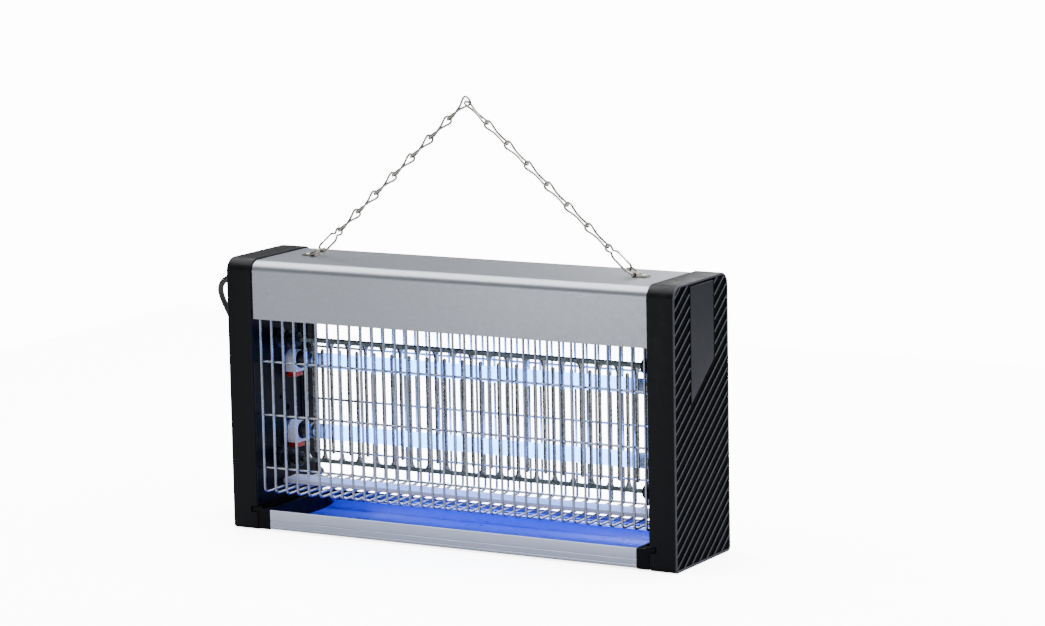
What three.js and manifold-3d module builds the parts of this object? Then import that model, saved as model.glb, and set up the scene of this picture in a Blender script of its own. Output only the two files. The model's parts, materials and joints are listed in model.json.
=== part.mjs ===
// Electric insect killer: two end caps joined by a folded roof, a wire guard round two
// ultraviolet tubes and a high-voltage grid, a sliding collecting tray and a hanging chain.
// Millimetres, +Z up, -Y is the front. The lamp stands on z = 0 and x = 0 is its middle.
import * as THREE from 'three';
import { mergeVertices } from 'three/addons/utils/BufferGeometryUtils.js';
import Module from 'manifold-3d';

const wasm = await Module();
wasm.setup();

// ---- driving dimensions ----
const GAP = 0.3;

const LENGTH = 400;
const DEPTH = 92;
const HEIGHT = 219;
const CAP_WIDTH = 23;
const CAP_WALL = 2.4;
const CAP_TOP_RADIUS = 11;
const CAP_FOOT_RADIUS = 3.5;
const PANEL_RECESS = 2.1;
const INNER_X = LENGTH / 2 - CAP_WIDTH;
const PLATE_X = INNER_X + GAP;
const PLATE_THICKNESS = 2;
const PLATE_HALF_DEPTH = DEPTH / 2 - CAP_WALL - GAP;

const PANEL_FLOOR = LENGTH / 2 - PANEL_RECESS + GAP;
const PANEL_FACE = PANEL_FLOOR + 0.9;
const INLAY_SINK = 0.25;
const RIB_HEIGHT = 0.8;
const RIB_WIDTH = 1.3;
const RIB_SLOPE = THREE.MathUtils.degToRad(37);
const RIB_PITCH = 9.4;
const INLAY_FRONT = -17.5;
const INLAY_REAR = 21;
const INLAY_TIP_Z = 125.5;

const ROOF_HALF_DEPTH = 44.6;
const ROOF_TOP = 217.6;
const ROOF_SHEET = 1;
const ROOF_BEND = 9;
const SKIRT_BOTTOM = 171;

const GUARD_WIRES = 34;
const GUARD_PITCH = 10.45;
const GUARD_Y = 41;
const GUARD_TOP = 181;
const GUARD_BOTTOM = 30.2;
const GUARD_BEND = 4;
const GUARD_RADIUS = 1.1;
const LONG_WIRE_HEIGHTS = [50.4, 93.4, 136.6];
const LONG_WIRE_SIDE = 1.8;

const GRID_Y = -11;
const GRID_SHEET = 1.2;
const UPPER_RAIL_Z = 151;
const LOWER_RAIL_Z = 53.5;
const RAIL_HEIGHT = 3.6;
const RAIL_REACH = 154.8;
const TOOTH_COUNT = 38;
const TOOTH_PITCH = 8.1;
const TOOTH_WIDTH = 2.8;
const TOOTH_TIP_GAP = 6;
const POST_TIP_X = 155.4;

const TUBE_Y = 5.5;
const TUBE_HEIGHTS = { upper: 131.8, lower: 73.8 };
const TUBE_RADIUS = 6.2;
const TUBE_WALL = 0.9;
const TUBE_HALF_GLASS = 150.6;
const TUBE_CAP_END = 164.9;
const PIN_RADIUS = 1;
const PIN_SPACING = 4.75;
const HOLDER_INNER_X = 165.2;
const HOLDER_RADIUS = 7.6;
const HOLDER_DROP = 10;

const PAN_HALF_LENGTH = 165.5;
const PAN_FRONT = -45.4;
const PAN_TOP = 17;
const PAN_BOTTOM = 1.4;
const PAN_SHEET = 1.4;
const PAN_REAR = 44.6;

const CHAIN_WIRE = 0.9;
const LINK_PITCH = 23.07;
const LINKS_PER_LIMB = 7;
const HOOK_PITCH = 25;
const RING_PITCH = 7.5;
const CONTACT_X = 139;
const CONTACT_Z = 223;
const RING_BAR_Z = 219.2;
const SEAT = CHAIN_WIRE + GAP / 2;
const APEX_SLACK = 3.6;

const CORD_RADIUS = 2.4;
const CORD_EXIT_Y = 31;
const CORD_EXIT_Z = 192.5;
const RELIEF_LENGTH = 34;
const COIL_CENTRE = [-249, 112];
const COIL_RADIUS = 27;
const COIL_HALF_WIDTH = 9.6;
const COIL_HEIGHT = 9.6;
const PLUG_HEADING = THREE.MathUtils.degToRad(252);
const PLUG_OFFSET = [14, -20.9];

// ---- colours ----
const FINISH = {
  aluminium: { color: 0xb9bec4, roughness: 0.35, metalness: 0.9 },
  black: { color: 0x0d0f14, roughness: 0.5, metalness: 0 },
  inlay: { color: 0x3f4149, roughness: 0.35, metalness: 0 },
  wire: { color: 0xa7adb8, roughness: 0.3, metalness: 1 },
  zinc: { color: 0x8c938f, roughness: 0.45, metalness: 0.9 },
  ceramic: { color: 0xeef0f4, roughness: 0.4, metalness: 0 },
  glass: { color: 0xbfe6ff, roughness: 0.1, metalness: 0 },
  nickel: { color: 0xb0aca2, roughness: 0.25, metalness: 1 },
  board: { color: 0x2f5d34, roughness: 0.6, metalness: 0 },
  copper: { color: 0x9a5a2c, roughness: 0.5, metalness: 0.4 },
};

const lamp = new THREE.Group();

// ---- solids and outlines ----

/** Leaves a closed geometry with its positions only, with shared corners merged. */
function weld(geometry) {
  const bare = geometry.clone();
  bare.deleteAttribute('normal');
  bare.deleteAttribute('uv');
  return mergeVertices(bare, 1e-4);
}

/** Turns a closed geometry into a solid that can be joined and cut. */
function solid(geometry) {
  const welded = weld(geometry);
  return new wasm.Manifold(new wasm.Mesh({
    numProp: 3,
    vertProperties: new Float32Array(welded.attributes.position.array),
    triVerts: new Uint32Array(welded.index.array),
  }));
}

/** Turns a solid back into a geometry. */
function surface(body) {
  const mesh = body.getMesh();
  const geometry = new THREE.BufferGeometry();
  geometry.setAttribute('position', new THREE.BufferAttribute(mesh.vertProperties, 3));
  geometry.setIndex(new THREE.BufferAttribute(mesh.triVerts, 1));
  geometry.computeVertexNormals();
  return geometry;
}

/** Joins several geometries into one body. */
function join(...pieces) {
  return surface(pieces.map(solid).reduce((whole, piece) => whole.add(piece)));
}

/** Cuts the tools out of a geometry. */
function cut(base, ...tools) {
  return surface(tools.map(solid).reduce((whole, tool) => whole.subtract(tool), solid(base)));
}

/** Keeps only what lies inside the mould. */
function trim(base, mould) {
  return surface(solid(base).intersect(solid(mould)));
}

/** A block between two corners. */
function block([x0, x1], [y0, y1], [z0, z1]) {
  const geometry = new THREE.BoxGeometry(x1 - x0, y1 - y0, z1 - z0);
  return geometry.translate((x0 + x1) / 2, (y0 + y1) / 2, (z0 + z1) / 2);
}

/** A cylinder along X. */
function barX([x0, x1], y, z, radius, sides = 12) {
  const geometry = new THREE.CylinderGeometry(radius, radius, x1 - x0, sides);
  return geometry.rotateZ(Math.PI / 2).translate((x0 + x1) / 2, y, z);
}

/** Extrudes an outline drawn in Y and Z along X. */
function extrudeX(outline, x0, x1) {
  const geometry = new THREE.ExtrudeGeometry(outline, {
    depth: x1 - x0, bevelEnabled: false, curveSegments: 4,
  });
  const turn = new THREE.Matrix4().set(0, 0, 1, x0, 1, 0, 0, 0, 0, 1, 0, 0, 0, 0, 0, 1);
  return geometry.applyMatrix4(turn);
}

/** Extrudes an outline drawn in X and Z from y0 to y1. */
function extrudeY(outline, y0, y1) {
  const geometry = new THREE.ExtrudeGeometry(outline, {
    depth: y1 - y0, bevelEnabled: false, curveSegments: 4,
  });
  return geometry.rotateX(Math.PI / 2).translate(0, y1, 0);
}

/** A solid of revolution about the X axis through y, z; profile is [x, radius] pairs. */
function turnedX(profile, y, z, sides) {
  const points = profile.map(([x, radius]) => new THREE.Vector2(radius, -x)).reverse();
  const geometry = new THREE.LatheGeometry(points, sides);
  return geometry.rotateZ(Math.PI / 2).translate(0, y, z);
}

/** The mirror image across x = 0, with its faces still pointing out. */
function mirrored(geometry) {
  const copy = weld(geometry).applyMatrix4(new THREE.Matrix4().makeScale(-1, 1, 1));
  const index = copy.index.array;
  for (let i = 0; i < index.length; i += 3) {
    [index[i + 1], index[i + 2]] = [index[i + 2], index[i + 1]];
  }
  copy.computeVertexNormals();
  return copy;
}

/** The right-hand piece for side 1, its mirror image for side -1. */
function onSide(side, geometry) {
  return side > 0 ? geometry : mirrored(geometry);
}

/** A closed outline through corner points. */
function polygon(corners) {
  return new THREE.Shape(corners.map(([u, v]) => new THREE.Vector2(u, v)));
}

/** Points on an arc, angles in degrees. */
function arc(u, v, radius, from, to, count) {
  return Array.from({ length: count + 1 }, (_, i) => {
    const angle = THREE.MathUtils.degToRad(from + ((to - from) * i) / count);
    return [u + radius * Math.cos(angle), v + radius * Math.sin(angle)];
  });
}

/** The outline of an end cap in Y and Z, drawn in by an inset. */
function capOutline(inset) {
  const half = DEPTH / 2 - inset;
  const top = Math.max(CAP_TOP_RADIUS - inset, 1);
  const foot = Math.max(CAP_FOOT_RADIUS - inset, 1);
  return polygon([
    ...arc(half - foot, inset + foot, foot, -90, 0, 3),
    ...arc(half - top, HEIGHT - inset - top, top, 0, 90, 5),
    ...arc(-half + top, HEIGHT - inset - top, top, 90, 180, 5),
    ...arc(-half + foot, inset + foot, foot, 180, 270, 3),
  ]);
}

/** A path through points that keeps every one of them as a step of the sweep. */
class WirePath extends THREE.Curve {
  constructor(points) {
    super();
    this.points = points.map(([x, y, z]) => new THREE.Vector3(x, y, z));
  }

  getPoint(t, target = new THREE.Vector3()) {
    const place = t * (this.points.length - 1);
    const index = Math.min(Math.floor(place), this.points.length - 2);
    return target.lerpVectors(this.points[index], this.points[index + 1], place - index);
  }

  getPointAt(u, target) {
    return this.getPoint(u, target);
  }

  getTangentAt(u, target = new THREE.Vector3()) {
    const last = this.points.length - 1;
    const index = Math.round(u * last);
    const before = this.points[Math.max(index - 1, 0)];
    const here = this.points[index];
    const after = this.points[Math.min(index + 1, last)];
    const arriving = new THREE.Vector3().subVectors(here, before).normalize();
    const leaving = new THREE.Vector3().subVectors(after, here).normalize();
    return target.addVectors(arriving, leaving).normalize();
  }
}

/** A round bar swept along points, with flat ends. */
function rod(points, radius, sides) {
  const section = polygon(arc(0, 0, radius, 0, 360 - 360 / sides, sides - 1));
  return new THREE.ExtrudeGeometry(section, {
    steps: points.length - 1, extrudePath: new WirePath(points), bevelEnabled: false,
  });
}

/** A closed loop of wire given by a function of the turn from 0 to 1. */
class WireLoop extends THREE.Curve {
  constructor(place) {
    super();
    this.place = place;
  }

  getPoint(t, target = new THREE.Vector3()) {
    return target.set(...this.place(t * 2 * Math.PI));
  }
}

/** A ring of wire that follows a closed loop. */
function ringOf(place, steps, sides) {
  return new THREE.TubeGeometry(new WireLoop(place), steps, CHAIN_WIRE, sides, true);
}

/** Adds one named piece to the lamp. */
function add(name, geometry, finish) {
  const mesh = new THREE.Mesh(geometry, new THREE.MeshStandardMaterial(finish));
  mesh.name = name;
  lamp.add(mesh);
  return mesh;
}

/** Adds a left and a right copy of a piece modelled on the right. */
function addPair(name, geometry, finish) {
  for (const side of [-1, 1]) {
    add(`${side < 0 ? 'left' : 'right'}_${name}`, onSide(side, geometry), finish);
  }
}

// ---- end caps ----

/** The notch in a cap's front edge where the tray's tab rests. */
function tabNotch() {
  return block([INNER_X - 1, 183], [-DEPTH / 2 - 1, -41.9], [14.3, 19.2]);
}

/** Moulded shell, open towards the middle, with a recess for the ribbed panel outside. */
function capShell() {
  const outside = LENGTH / 2;
  const hollow = extrudeX(capOutline(CAP_WALL), INNER_X - 1, outside - PANEL_RECESS - CAP_WALL);
  const recess = extrudeX(capOutline(CAP_WALL - 0.4), outside - PANEL_RECESS, outside + 1);
  return cut(extrudeX(capOutline(0), INNER_X, outside), hollow, recess, tabNotch());
}

/** The raised ribs, as sloping bars that are trimmed to the panel. */
function slopingRibs(x0, x1) {
  const rise = Math.tan(RIB_SLOPE);
  const half = DEPTH / 2;
  const thickness = RIB_WIDTH / Math.cos(RIB_SLOPE);
  const count = Math.ceil((HEIGHT + DEPTH * rise) / RIB_PITCH);
  return Array.from({ length: count }, (_, i) => {
    const start = i * RIB_PITCH - DEPTH * rise + 4;
    const end = start + 2 * half * rise;
    return extrudeX(polygon([
      [-half, start], [half, end], [half, end + thickness], [-half, start + thickness],
    ]), x0, x1);
  });
}

/** The inlay's outline: a strip whose lower end is cut along the ribs. */
function inlayOutline(margin) {
  const rise = Math.tan(RIB_SLOPE) * (INLAY_REAR - INLAY_FRONT);
  const top = HEIGHT - CAP_WALL - GAP - 1;
  const drop = margin / Math.cos(RIB_SLOPE);
  return polygon([
    [INLAY_FRONT - margin, INLAY_TIP_Z - drop],
    [INLAY_REAR + margin, INLAY_TIP_Z + rise - drop],
    [INLAY_REAR + margin, top + margin],
    [INLAY_FRONT - margin, top + margin],
  ]);
}

/** Thin moulded panel with diagonal ribs, cut away behind the inlay. */
function ribPanel() {
  const outline = capOutline(CAP_WALL - 0.4 + GAP);
  const crest = PANEL_FACE + RIB_HEIGHT;
  const sheet = extrudeX(outline, PANEL_FLOOR, PANEL_FACE);
  const ribs = slopingRibs(PANEL_FACE - 0.3, crest);
  const ribbed = trim(join(sheet, ...ribs), extrudeX(outline, PANEL_FLOOR, crest));
  return cut(ribbed, extrudeX(inlayOutline(1.4), PANEL_FACE - INLAY_SINK, crest + 1));
}

/** Smooth strip let into the ribbed panel. */
function inlay() {
  const back = PANEL_FACE - INLAY_SINK + GAP;
  return extrudeX(inlayOutline(0), back, back + RIB_HEIGHT);
}

/** Inner wall of a cap, with vertical ribs, the tray's groove and two screw holes. */
function innerPlate() {
  const outer = PLATE_X + PLATE_THICKNESS;
  const ribs = [23, 28, 33].map((y) => block([176.1, PLATE_X + 0.2], [y, y + 1.4], [58, 166]));
  const lower = block([171.6, PLATE_X + 0.2], [-35.8, PLATE_HALF_DEPTH], [10.2, 13.2]);
  const upper = block([171.6, PLATE_X + 0.2], [-35.8, PLATE_HALF_DEPTH], [16.3, 18.8]);
  const plate = join(extrudeX(capOutline(CAP_WALL + GAP), PLATE_X, outer), ...ribs, lower, upper);
  return cut(
    plate,
    tabNotch(),
    barX([PLATE_X - 1, outer + 1], -7, 102, 1.6, 8),
    barX([PLATE_X - 1, outer + 1], 3, 92, 2.6, 10),
  );
}

// ---- roof, guard and brace ----

/** Folded sheet: flat top, two round bends and two skirts. */
function topHousing() {
  const outer = [
    [-ROOF_HALF_DEPTH, SKIRT_BOTTOM],
    ...arc(-ROOF_HALF_DEPTH + ROOF_BEND, ROOF_TOP - ROOF_BEND, ROOF_BEND, 180, 90, 6),
    ...arc(ROOF_HALF_DEPTH - ROOF_BEND, ROOF_TOP - ROOF_BEND, ROOF_BEND, 90, 0, 6),
    [ROOF_HALF_DEPTH, SKIRT_BOTTOM],
  ];
  const inside = ROOF_BEND - ROOF_SHEET;
  const inner = [
    [ROOF_HALF_DEPTH - ROOF_SHEET, SKIRT_BOTTOM],
    ...arc(ROOF_HALF_DEPTH - ROOF_BEND, ROOF_TOP - ROOF_BEND, inside, 0, 90, 6),
    ...arc(-ROOF_HALF_DEPTH + ROOF_BEND, ROOF_TOP - ROOF_BEND, inside, 90, 180, 6),
    [-ROOF_HALF_DEPTH + ROOF_SHEET, SKIRT_BOTTOM],
  ];
  const reach = INNER_X - GAP;
  return extrudeX(polygon([...outer, ...inner]), -reach, reach);
}

/** One guard wire, bent into a U round the bottom. */
function guardWire(x) {
  const bend = (side, from, to) => arc(
    side * (GUARD_Y - GUARD_BEND), GUARD_BOTTOM + GUARD_BEND, GUARD_BEND, from, to, 2,
  ).map(([y, z]) => [x, y, z]);
  return rod([
    [x, -GUARD_Y, GUARD_TOP], ...bend(-1, 180, 270), ...bend(1, 270, 360),
    [x, GUARD_Y, GUARD_TOP],
  ], GUARD_RADIUS, 4);
}

/** The whole guard: U wires welded to three long wires at the front and three behind. */
function wireGuard() {
  const first = (-(GUARD_WIRES - 1) * GUARD_PITCH) / 2;
  const uprights = Array.from({ length: GUARD_WIRES }, (_, i) => guardWire(first + i * GUARD_PITCH));
  const near = GUARD_Y - GUARD_RADIUS + 0.35;
  const far = near - LONG_WIRE_SIDE;
  const long = LONG_WIRE_HEIGHTS.flatMap((z) => [[-near, -far], [far, near]].map((depth) => block(
    [-INNER_X, INNER_X], depth, [z - LONG_WIRE_SIDE / 2, z + LONG_WIRE_SIDE / 2],
  )));
  return join(...uprights, ...long);
}

/** Light channel, open below, that lies across the bottom of the guard. */
function bottomBrace() {
  const low = GUARD_BOTTOM + GUARD_RADIUS + GAP;
  const high = low + 3.6;
  return extrudeX(polygon([
    [-8, low], [-7, low], [-7, high - 1], [11, high - 1], [11, low], [12, low],
    [12, high], [-8, high],
  ]), -INNER_X + 0.6, INNER_X - 0.6);
}

// ---- high-voltage grid ----

/** Outline of a comb in X and Z: a rail with flared, round-tipped teeth on one side. */
function combOutline(railZ, tipZ, parity) {
  const way = Math.sign(tipZ - railZ);
  const root = railZ + (way * RAIL_HEIGHT) / 2;
  const back = railZ - (way * RAIL_HEIGHT) / 2;
  const half = TOOTH_WIDTH / 2;
  const edge = [];
  for (let i = parity; i < TOOTH_COUNT; i += 2) {
    const x = (i - (TOOTH_COUNT - 1) / 2) * TOOTH_PITCH;
    edge.push(
      [x - half - 2.4, root], [x - half - 0.7, root + way * 1.6], [x - half, root + way * 5],
      [x - half, tipZ - way * half], [x - half * 0.6, tipZ - way * 0.3],
      [x + half * 0.6, tipZ - way * 0.3], [x + half, tipZ - way * half],
      [x + half, root + way * 5], [x + half + 0.7, root + way * 1.6], [x + half + 2.4, root],
    );
  }
  const tongue = RAIL_REACH + 3.6;
  const ends = [[tongue, root], [tongue, back], [-tongue, back], [-tongue, root]];
  return polygon([...edge, ...ends]);
}

/** A comb of punched sheet with a folded flange that stiffens its rail. */
function comb(railZ, tipZ, parity) {
  const way = Math.sign(tipZ - railZ);
  const back = railZ - (way * RAIL_HEIGHT) / 2;
  const front = GRID_Y - GRID_SHEET / 2;
  const flange = way < 0 ? [back - 1, back] : [back, back + 1];
  return join(
    extrudeY(combOutline(railZ, tipZ, parity), front, front + GRID_SHEET),
    block([-RAIL_REACH, RAIL_REACH], [front + 0.2, front + 4.4], flange),
  );
}

/** Insulator post with a slot in its head that takes the end of a comb's rail. */
function insulatorPost(railZ) {
  const profile = [
    [POST_TIP_X, 0], [POST_TIP_X, 5], [POST_TIP_X + 1, 6], [161, 6], [161, 4], [164, 4],
    [164, 7], [166.5, 7], [166.5, 4.4], [170.5, 4.4], [172, 8], [PLATE_X - GAP, 8],
    [PLATE_X - GAP, 0],
  ];
  const slot = block(
    [POST_TIP_X - 1, RAIL_REACH + 3.6 + GAP],
    [GRID_Y - GRID_SHEET / 2 - GAP, GRID_Y + GRID_SHEET / 2 + GAP],
    [railZ - RAIL_HEIGHT / 2 - GAP, railZ + RAIL_HEIGHT / 2 + GAP],
  );
  return cut(turnedX(profile, GRID_Y, railZ, 12), slot);
}

// ---- tubes ----

/** Lampholder: domed block with a round socket and an entry slot at the back. */
function lampholder(z) {
  const foot = z - HOLDER_DROP;
  const outline = polygon([
    [TUBE_Y - HOLDER_RADIUS, foot], [TUBE_Y + HOLDER_RADIUS, foot],
    ...arc(TUBE_Y, z, HOLDER_RADIUS, 0, 180, 8),
  ]);
  const socket = 4.3;
  return cut(
    extrudeX(outline, HOLDER_INNER_X, PLATE_X - GAP),
    barX([HOLDER_INNER_X - 1, 173], TUBE_Y, z, socket, 12),
    block([HOLDER_INNER_X - 1, 173], [TUBE_Y, TUBE_Y + HOLDER_RADIUS + 1], [z - 1.5, z + 1.5]),
  );
}

/** Metal end cap of a tube, with its two contact pins. */
function tubeCap(z) {
  const inner = TUBE_HALF_GLASS + GAP;
  const skirt = turnedX([
    [inner, 0], [inner, TUBE_RADIUS + 0.1], [TUBE_CAP_END - 1.5, TUBE_RADIUS + 0.1],
    [TUBE_CAP_END, 5], [TUBE_CAP_END, 0],
  ], TUBE_Y, z, 14);
  const pins = [-1, 1].map((way) => barX(
    [TUBE_CAP_END - 1, TUBE_CAP_END + 7], TUBE_Y + (way * PIN_SPACING) / 2, z, PIN_RADIUS, 8,
  ));
  return join(skirt, ...pins);
}

/** Open glass tube between the two end caps. */
function tubeGlass(z) {
  const bore = TUBE_RADIUS - TUBE_WALL;
  const end = TUBE_HALF_GLASS;
  return turnedX([
    [-end, bore], [-end, TUBE_RADIUS], [end, TUBE_RADIUS], [end, bore], [-end, bore],
  ], TUBE_Y, z, 16);
}

// ---- tray ----

/** Folded pan: grooved front wall, floor, and a rear wall with a rolled bead. */
function trayPan() {
  const floor = PAN_BOTTOM + PAN_SHEET;
  const groove = (z) => [
    [PAN_FRONT, z + 0.4], [PAN_FRONT + 0.35, z + 0.2], [PAN_FRONT + 0.35, z - 0.2],
    [PAN_FRONT, z - 0.4],
  ];
  return extrudeX(polygon([
    [PAN_FRONT, PAN_TOP], ...groove(8.4), ...groove(4),
    [PAN_FRONT, PAN_BOTTOM], [39.4, PAN_BOTTOM], [39.4, 8.6], [PAN_REAR, 12.4],
    [PAN_REAR, 17.6], [PAN_REAR - 1.2, 17.6], [PAN_REAR - 1.2, 13.4],
    ...arc(39.8, 10.8, 2.2, 60, 210, 5), [38, floor], [PAN_FRONT + PAN_SHEET, floor],
    [PAN_FRONT + PAN_SHEET, PAN_TOP],
  ].reverse()), -PAN_HALF_LENGTH, PAN_HALF_LENGTH);
}

/** Moulded end of the tray: end wall, front block, slide rail and resting tab. */
function trayEnd() {
  const inner = PAN_HALF_LENGTH + GAP;
  const outer = INNER_X - 0.5;
  return join(
    block([inner, inner + 2.6], [-43, 44.2], [PAN_BOTTOM, 17.6]),
    block([inner, outer], [-45.6, -36.4], [1, 17.2]),
    block([inner + 2, 174.6], [-37, 44.2], [13.6, 15.9]),
    block([outer - 3, 182], [-45.6, -42.3], [14.8, 18.7]),
  );
}

// ---- hanging chain ----

const leftReach = HOOK_PITCH + LINKS_PER_LIMB * LINK_PITCH + SEAT - APEX_SLACK;
const rightReach = HOOK_PITCH + LINKS_PER_LIMB * LINK_PITCH + SEAT;
const apexX = (leftReach ** 2 - rightReach ** 2) / (4 * CONTACT_X);
const limbs = {
  left: { side: -1, angle: Math.acos((CONTACT_X + apexX) / leftReach) },
  right: { side: 1, angle: Math.acos((CONTACT_X - apexX) / rightReach) },
};

/** Adds a piece drawn along +X at the left limb's place, with mirror image on the right. */
function addOnLimb(name, geometry, limb, along, finish) {
  const { side, angle } = limbs[limb];
  const mesh = add(`${limb}_${name}`, side < 0 ? geometry : mirrored(geometry), finish);
  mesh.position.set(
    side * (CONTACT_X - along * Math.cos(angle)), 0, CONTACT_Z + along * Math.sin(angle),
  );
  mesh.rotation.y = side * angle;
}

/** A twisted figure-of-eight link; turn is its twist, eye widens its upper end. */
function link(turn, eye) {
  const half = LINK_PITCH / 2 + SEAT;
  const end = 4.14;
  const waist = 3.04;
  return ringOf((t) => {
    const along = Math.cos(t);
    const widen = 1 + (eye - 1) * Math.max(along, 0);
    const width = Math.sin(t) * (end + waist * Math.cos(2 * t)) * widen;
    const reach = Math.min(Math.max(along / 0.6, -1), 1);
    const angle = Math.PI / 2 - turn * 0.5 * (1 + Math.sin((reach * Math.PI) / 2));
    return [
      LINK_PITCH / 2 + half * along, width * Math.sin(angle), width * Math.cos(angle),
    ];
  }, 22, 4);
}

/** Snap hook: a wide lower bight, a narrow waist and a small eye, open on the gate side. */
function snapHook() {
  const bight = 3.3;
  const eye = 2.7;
  return rod([
    [5.6, bight], ...arc(bight - SEAT, 0, bight, 90, 270, 6), [15.4, -bight], [17.4, -2.6],
    [19.2, -1.2], ...arc(HOOK_PITCH + SEAT - eye, 0, eye, -110, 110, 6), [19.2, 1.2],
    [17.4, 2.6], [15.9, bight], [14.9, bight],
  ].map(([s, n]) => [s, 0, n]), CHAIN_WIRE, 5);
}

/** Spring gate that closes the side of a snap hook. */
function hookGate() {
  return rod([[14.6, 0, 3.3], [10, 0, 3.3], [5.9, 0, 3.3]], 0.7, 6);
}

/** D-ring: a rounded oblong of wire whose near bar lies under the eye plate. */
function dRing() {
  const half = (RING_PITCH + SEAT) / 2;
  const soften = (value) => Math.sign(value) * Math.abs(value) ** 0.55;
  return ringOf((t) => [
    half + half * soften(Math.cos(t)), 6 * soften(Math.sin(t)), 0,
  ], 20, 5);
}

const ringLean = Math.asin((CONTACT_Z - RING_BAR_Z) / RING_PITCH);
const ringBarX = CONTACT_X + RING_PITCH * Math.cos(ringLean);

/** Strap that holds a ring's bar on the roof, with a rivet on its outer tab. */
function eyePlate() {
  const seat = ROOF_TOP + GAP;
  const sheet = 0.9;
  const clear = CHAIN_WIRE + 0.4;
  const strap = extrudeY(polygon([
    [ringBarX - clear - 1.8, seat], [ringBarX - clear, seat],
    ...arc(ringBarX, RING_BAR_Z, clear, 180, 0, 5),
    [ringBarX + clear, seat], [ringBarX + 10, seat], [ringBarX + 10, seat + sheet],
    [ringBarX + clear + sheet + 0.2, seat + sheet],
    ...arc(ringBarX, RING_BAR_Z, clear + sheet, 0, 180, 5),
    [ringBarX - clear - sheet, seat + sheet], [ringBarX - clear - 1.8, seat + sheet],
  ]), -3.6, 3.6);
  const head = new THREE.CylinderGeometry(1.7, 2.4, 1.2, 10).rotateX(Math.PI / 2);
  return join(strap, head.translate(ringBarX + 6.4, 0, seat + sheet + 0.4));
}

// ---- electrics inside the caps ----

/** Circuit board with its row of small parts, standing behind an inner plate. */
function circuitBoard(side, z0, z1) {
  const near = PLATE_X + PLATE_THICKNESS + 1.2;
  return onSide(side, join(
    block([near, near + 1.6], [-34, 34], [z0, z1]),
    block([near + 1.4, near + 9], [-30, -18], [z0 + 8, z0 + 30]),
    barX([near + 1.4, near + 12], 24, z0 + 14, 6, 10),
    block([near + 1.4, near + 6], [-6, 12], [z1 - 12, z1 - 5]),
  ));
}

/** Wound core standing on a board. */
function woundCore(side, y, z, height) {
  const near = PLATE_X + PLATE_THICKNESS + 1.2 + 1.6 + GAP;
  return onSide(side, join(
    block([near, near + 10.5], [y - 13, y + 13], [z, z + 5]),
    block([near + 1, near + 9.5], [y - 10, y + 10], [z + 4, z + height - 4]),
    block([near, near + 10.5], [y - 13, y + 13], [z + height - 5, z + height]),
  ));
}

// ---- mains lead ----

/** Points of the lead's middle line, from the strain relief down to the coil on the floor. */
const leadRoute = [
  [-LENGTH / 2 - RELIEF_LENGTH - GAP, CORD_EXIT_Y, CORD_EXIT_Z],
  [-243, 31, 191.8], [-251.3, 31.9, 189], [-258.6, 34.7, 184.3], [-264, 39.7, 177.9],
  [-266.8, 46.3, 169.6], [-267, 53, 159.6], [-265.9, 58.9, 148.7], [-264.9, 64.2, 137],
  [-264.8, 69, 124.8], [-265.4, 73.4, 112.2], [-266.7, 77.3, 99.5], [-268.4, 80.7, 86.6],
  [-270.4, 83.6, 73.5], [-272.6, 85.9, 60.3], [-274.9, 87.9, 47.2], [-277.2, 90, 35],
  [-279.3, 93, 24.2], [-280.8, 96.4, 17], [-281.8, 100.4, 11.4],
];

/** Tapered bush round the lead where it leaves the left cap. */
function strainRelief() {
  const start = -LENGTH / 2 + PANEL_RECESS - GAP;
  const end = LENGTH / 2 + start + RELIEF_LENGTH;
  const sleeve = new THREE.LatheGeometry([
    [0, 0], [6.2, 0], [6.2, 4], [4.7, 4.8], [4.3, 15], [3.1, end], [0, end],
  ].map(([radius, along]) => new THREE.Vector2(radius, along)), 12);
  return sleeve.rotateZ(Math.PI / 2).translate(start, CORD_EXIT_Y, CORD_EXIT_Z);
}

/** Ring that the wound part of the lead fills. */
function cordCoil() {
  const section = [
    [COIL_RADIUS - COIL_HALF_WIDTH, 0], [COIL_RADIUS + COIL_HALF_WIDTH, 0],
    [COIL_RADIUS + COIL_HALF_WIDTH, COIL_HEIGHT], [COIL_RADIUS - COIL_HALF_WIDTH, COIL_HEIGHT],
    [COIL_RADIUS - COIL_HALF_WIDTH, 0],
  ].map(([radius, z]) => new THREE.Vector2(radius, z));
  const ring = new THREE.LatheGeometry(section, 20).rotateX(Math.PI / 2);
  return ring.translate(COIL_CENTRE[0], COIL_CENTRE[1], 0);
}

/** Flat two-pin plug lying across the coil. */
function mainsPlug() {
  const low = COIL_HEIGHT + GAP;
  const body = extrudeY(polygon([
    [-30, low + 4], [-26, low + 1.5], [-8, low], [4, low], [4, low + 13], [-8, low + 13],
    [-26, low + 9.5], [-30, low + 8],
  ]), -6.8, 6.8);
  const pins = [-1, 1].map((way) => barX([3, 23], way * 4.6, low + 6.5, 2, 8));
  return join(body, ...pins).rotateZ(PLUG_HEADING)
    .translate(COIL_CENTRE[0] + PLUG_OFFSET[0], COIL_CENTRE[1] + PLUG_OFFSET[1], 0);
}

// ---- assembly ----

addPair('cap_shell', capShell(), FINISH.black);
addPair('inner_plate', innerPlate(), FINISH.black);
addPair('inlay', inlay(), FINISH.inlay);
add('top_housing', topHousing(), FINISH.aluminium);
add('wire_guard', wireGuard(), FINISH.wire);
add('bottom_brace', bottomBrace(), FINISH.aluminium);

const reliefHole = barX([-LENGTH / 2 - 1, -LENGTH / 2 + 4], CORD_EXIT_Y, CORD_EXIT_Z, 6.6, 12);
add('left_rib_panel', cut(mirrored(ribPanel()), reliefHole), FINISH.black);
add('right_rib_panel', ribPanel(), FINISH.black);

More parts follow.
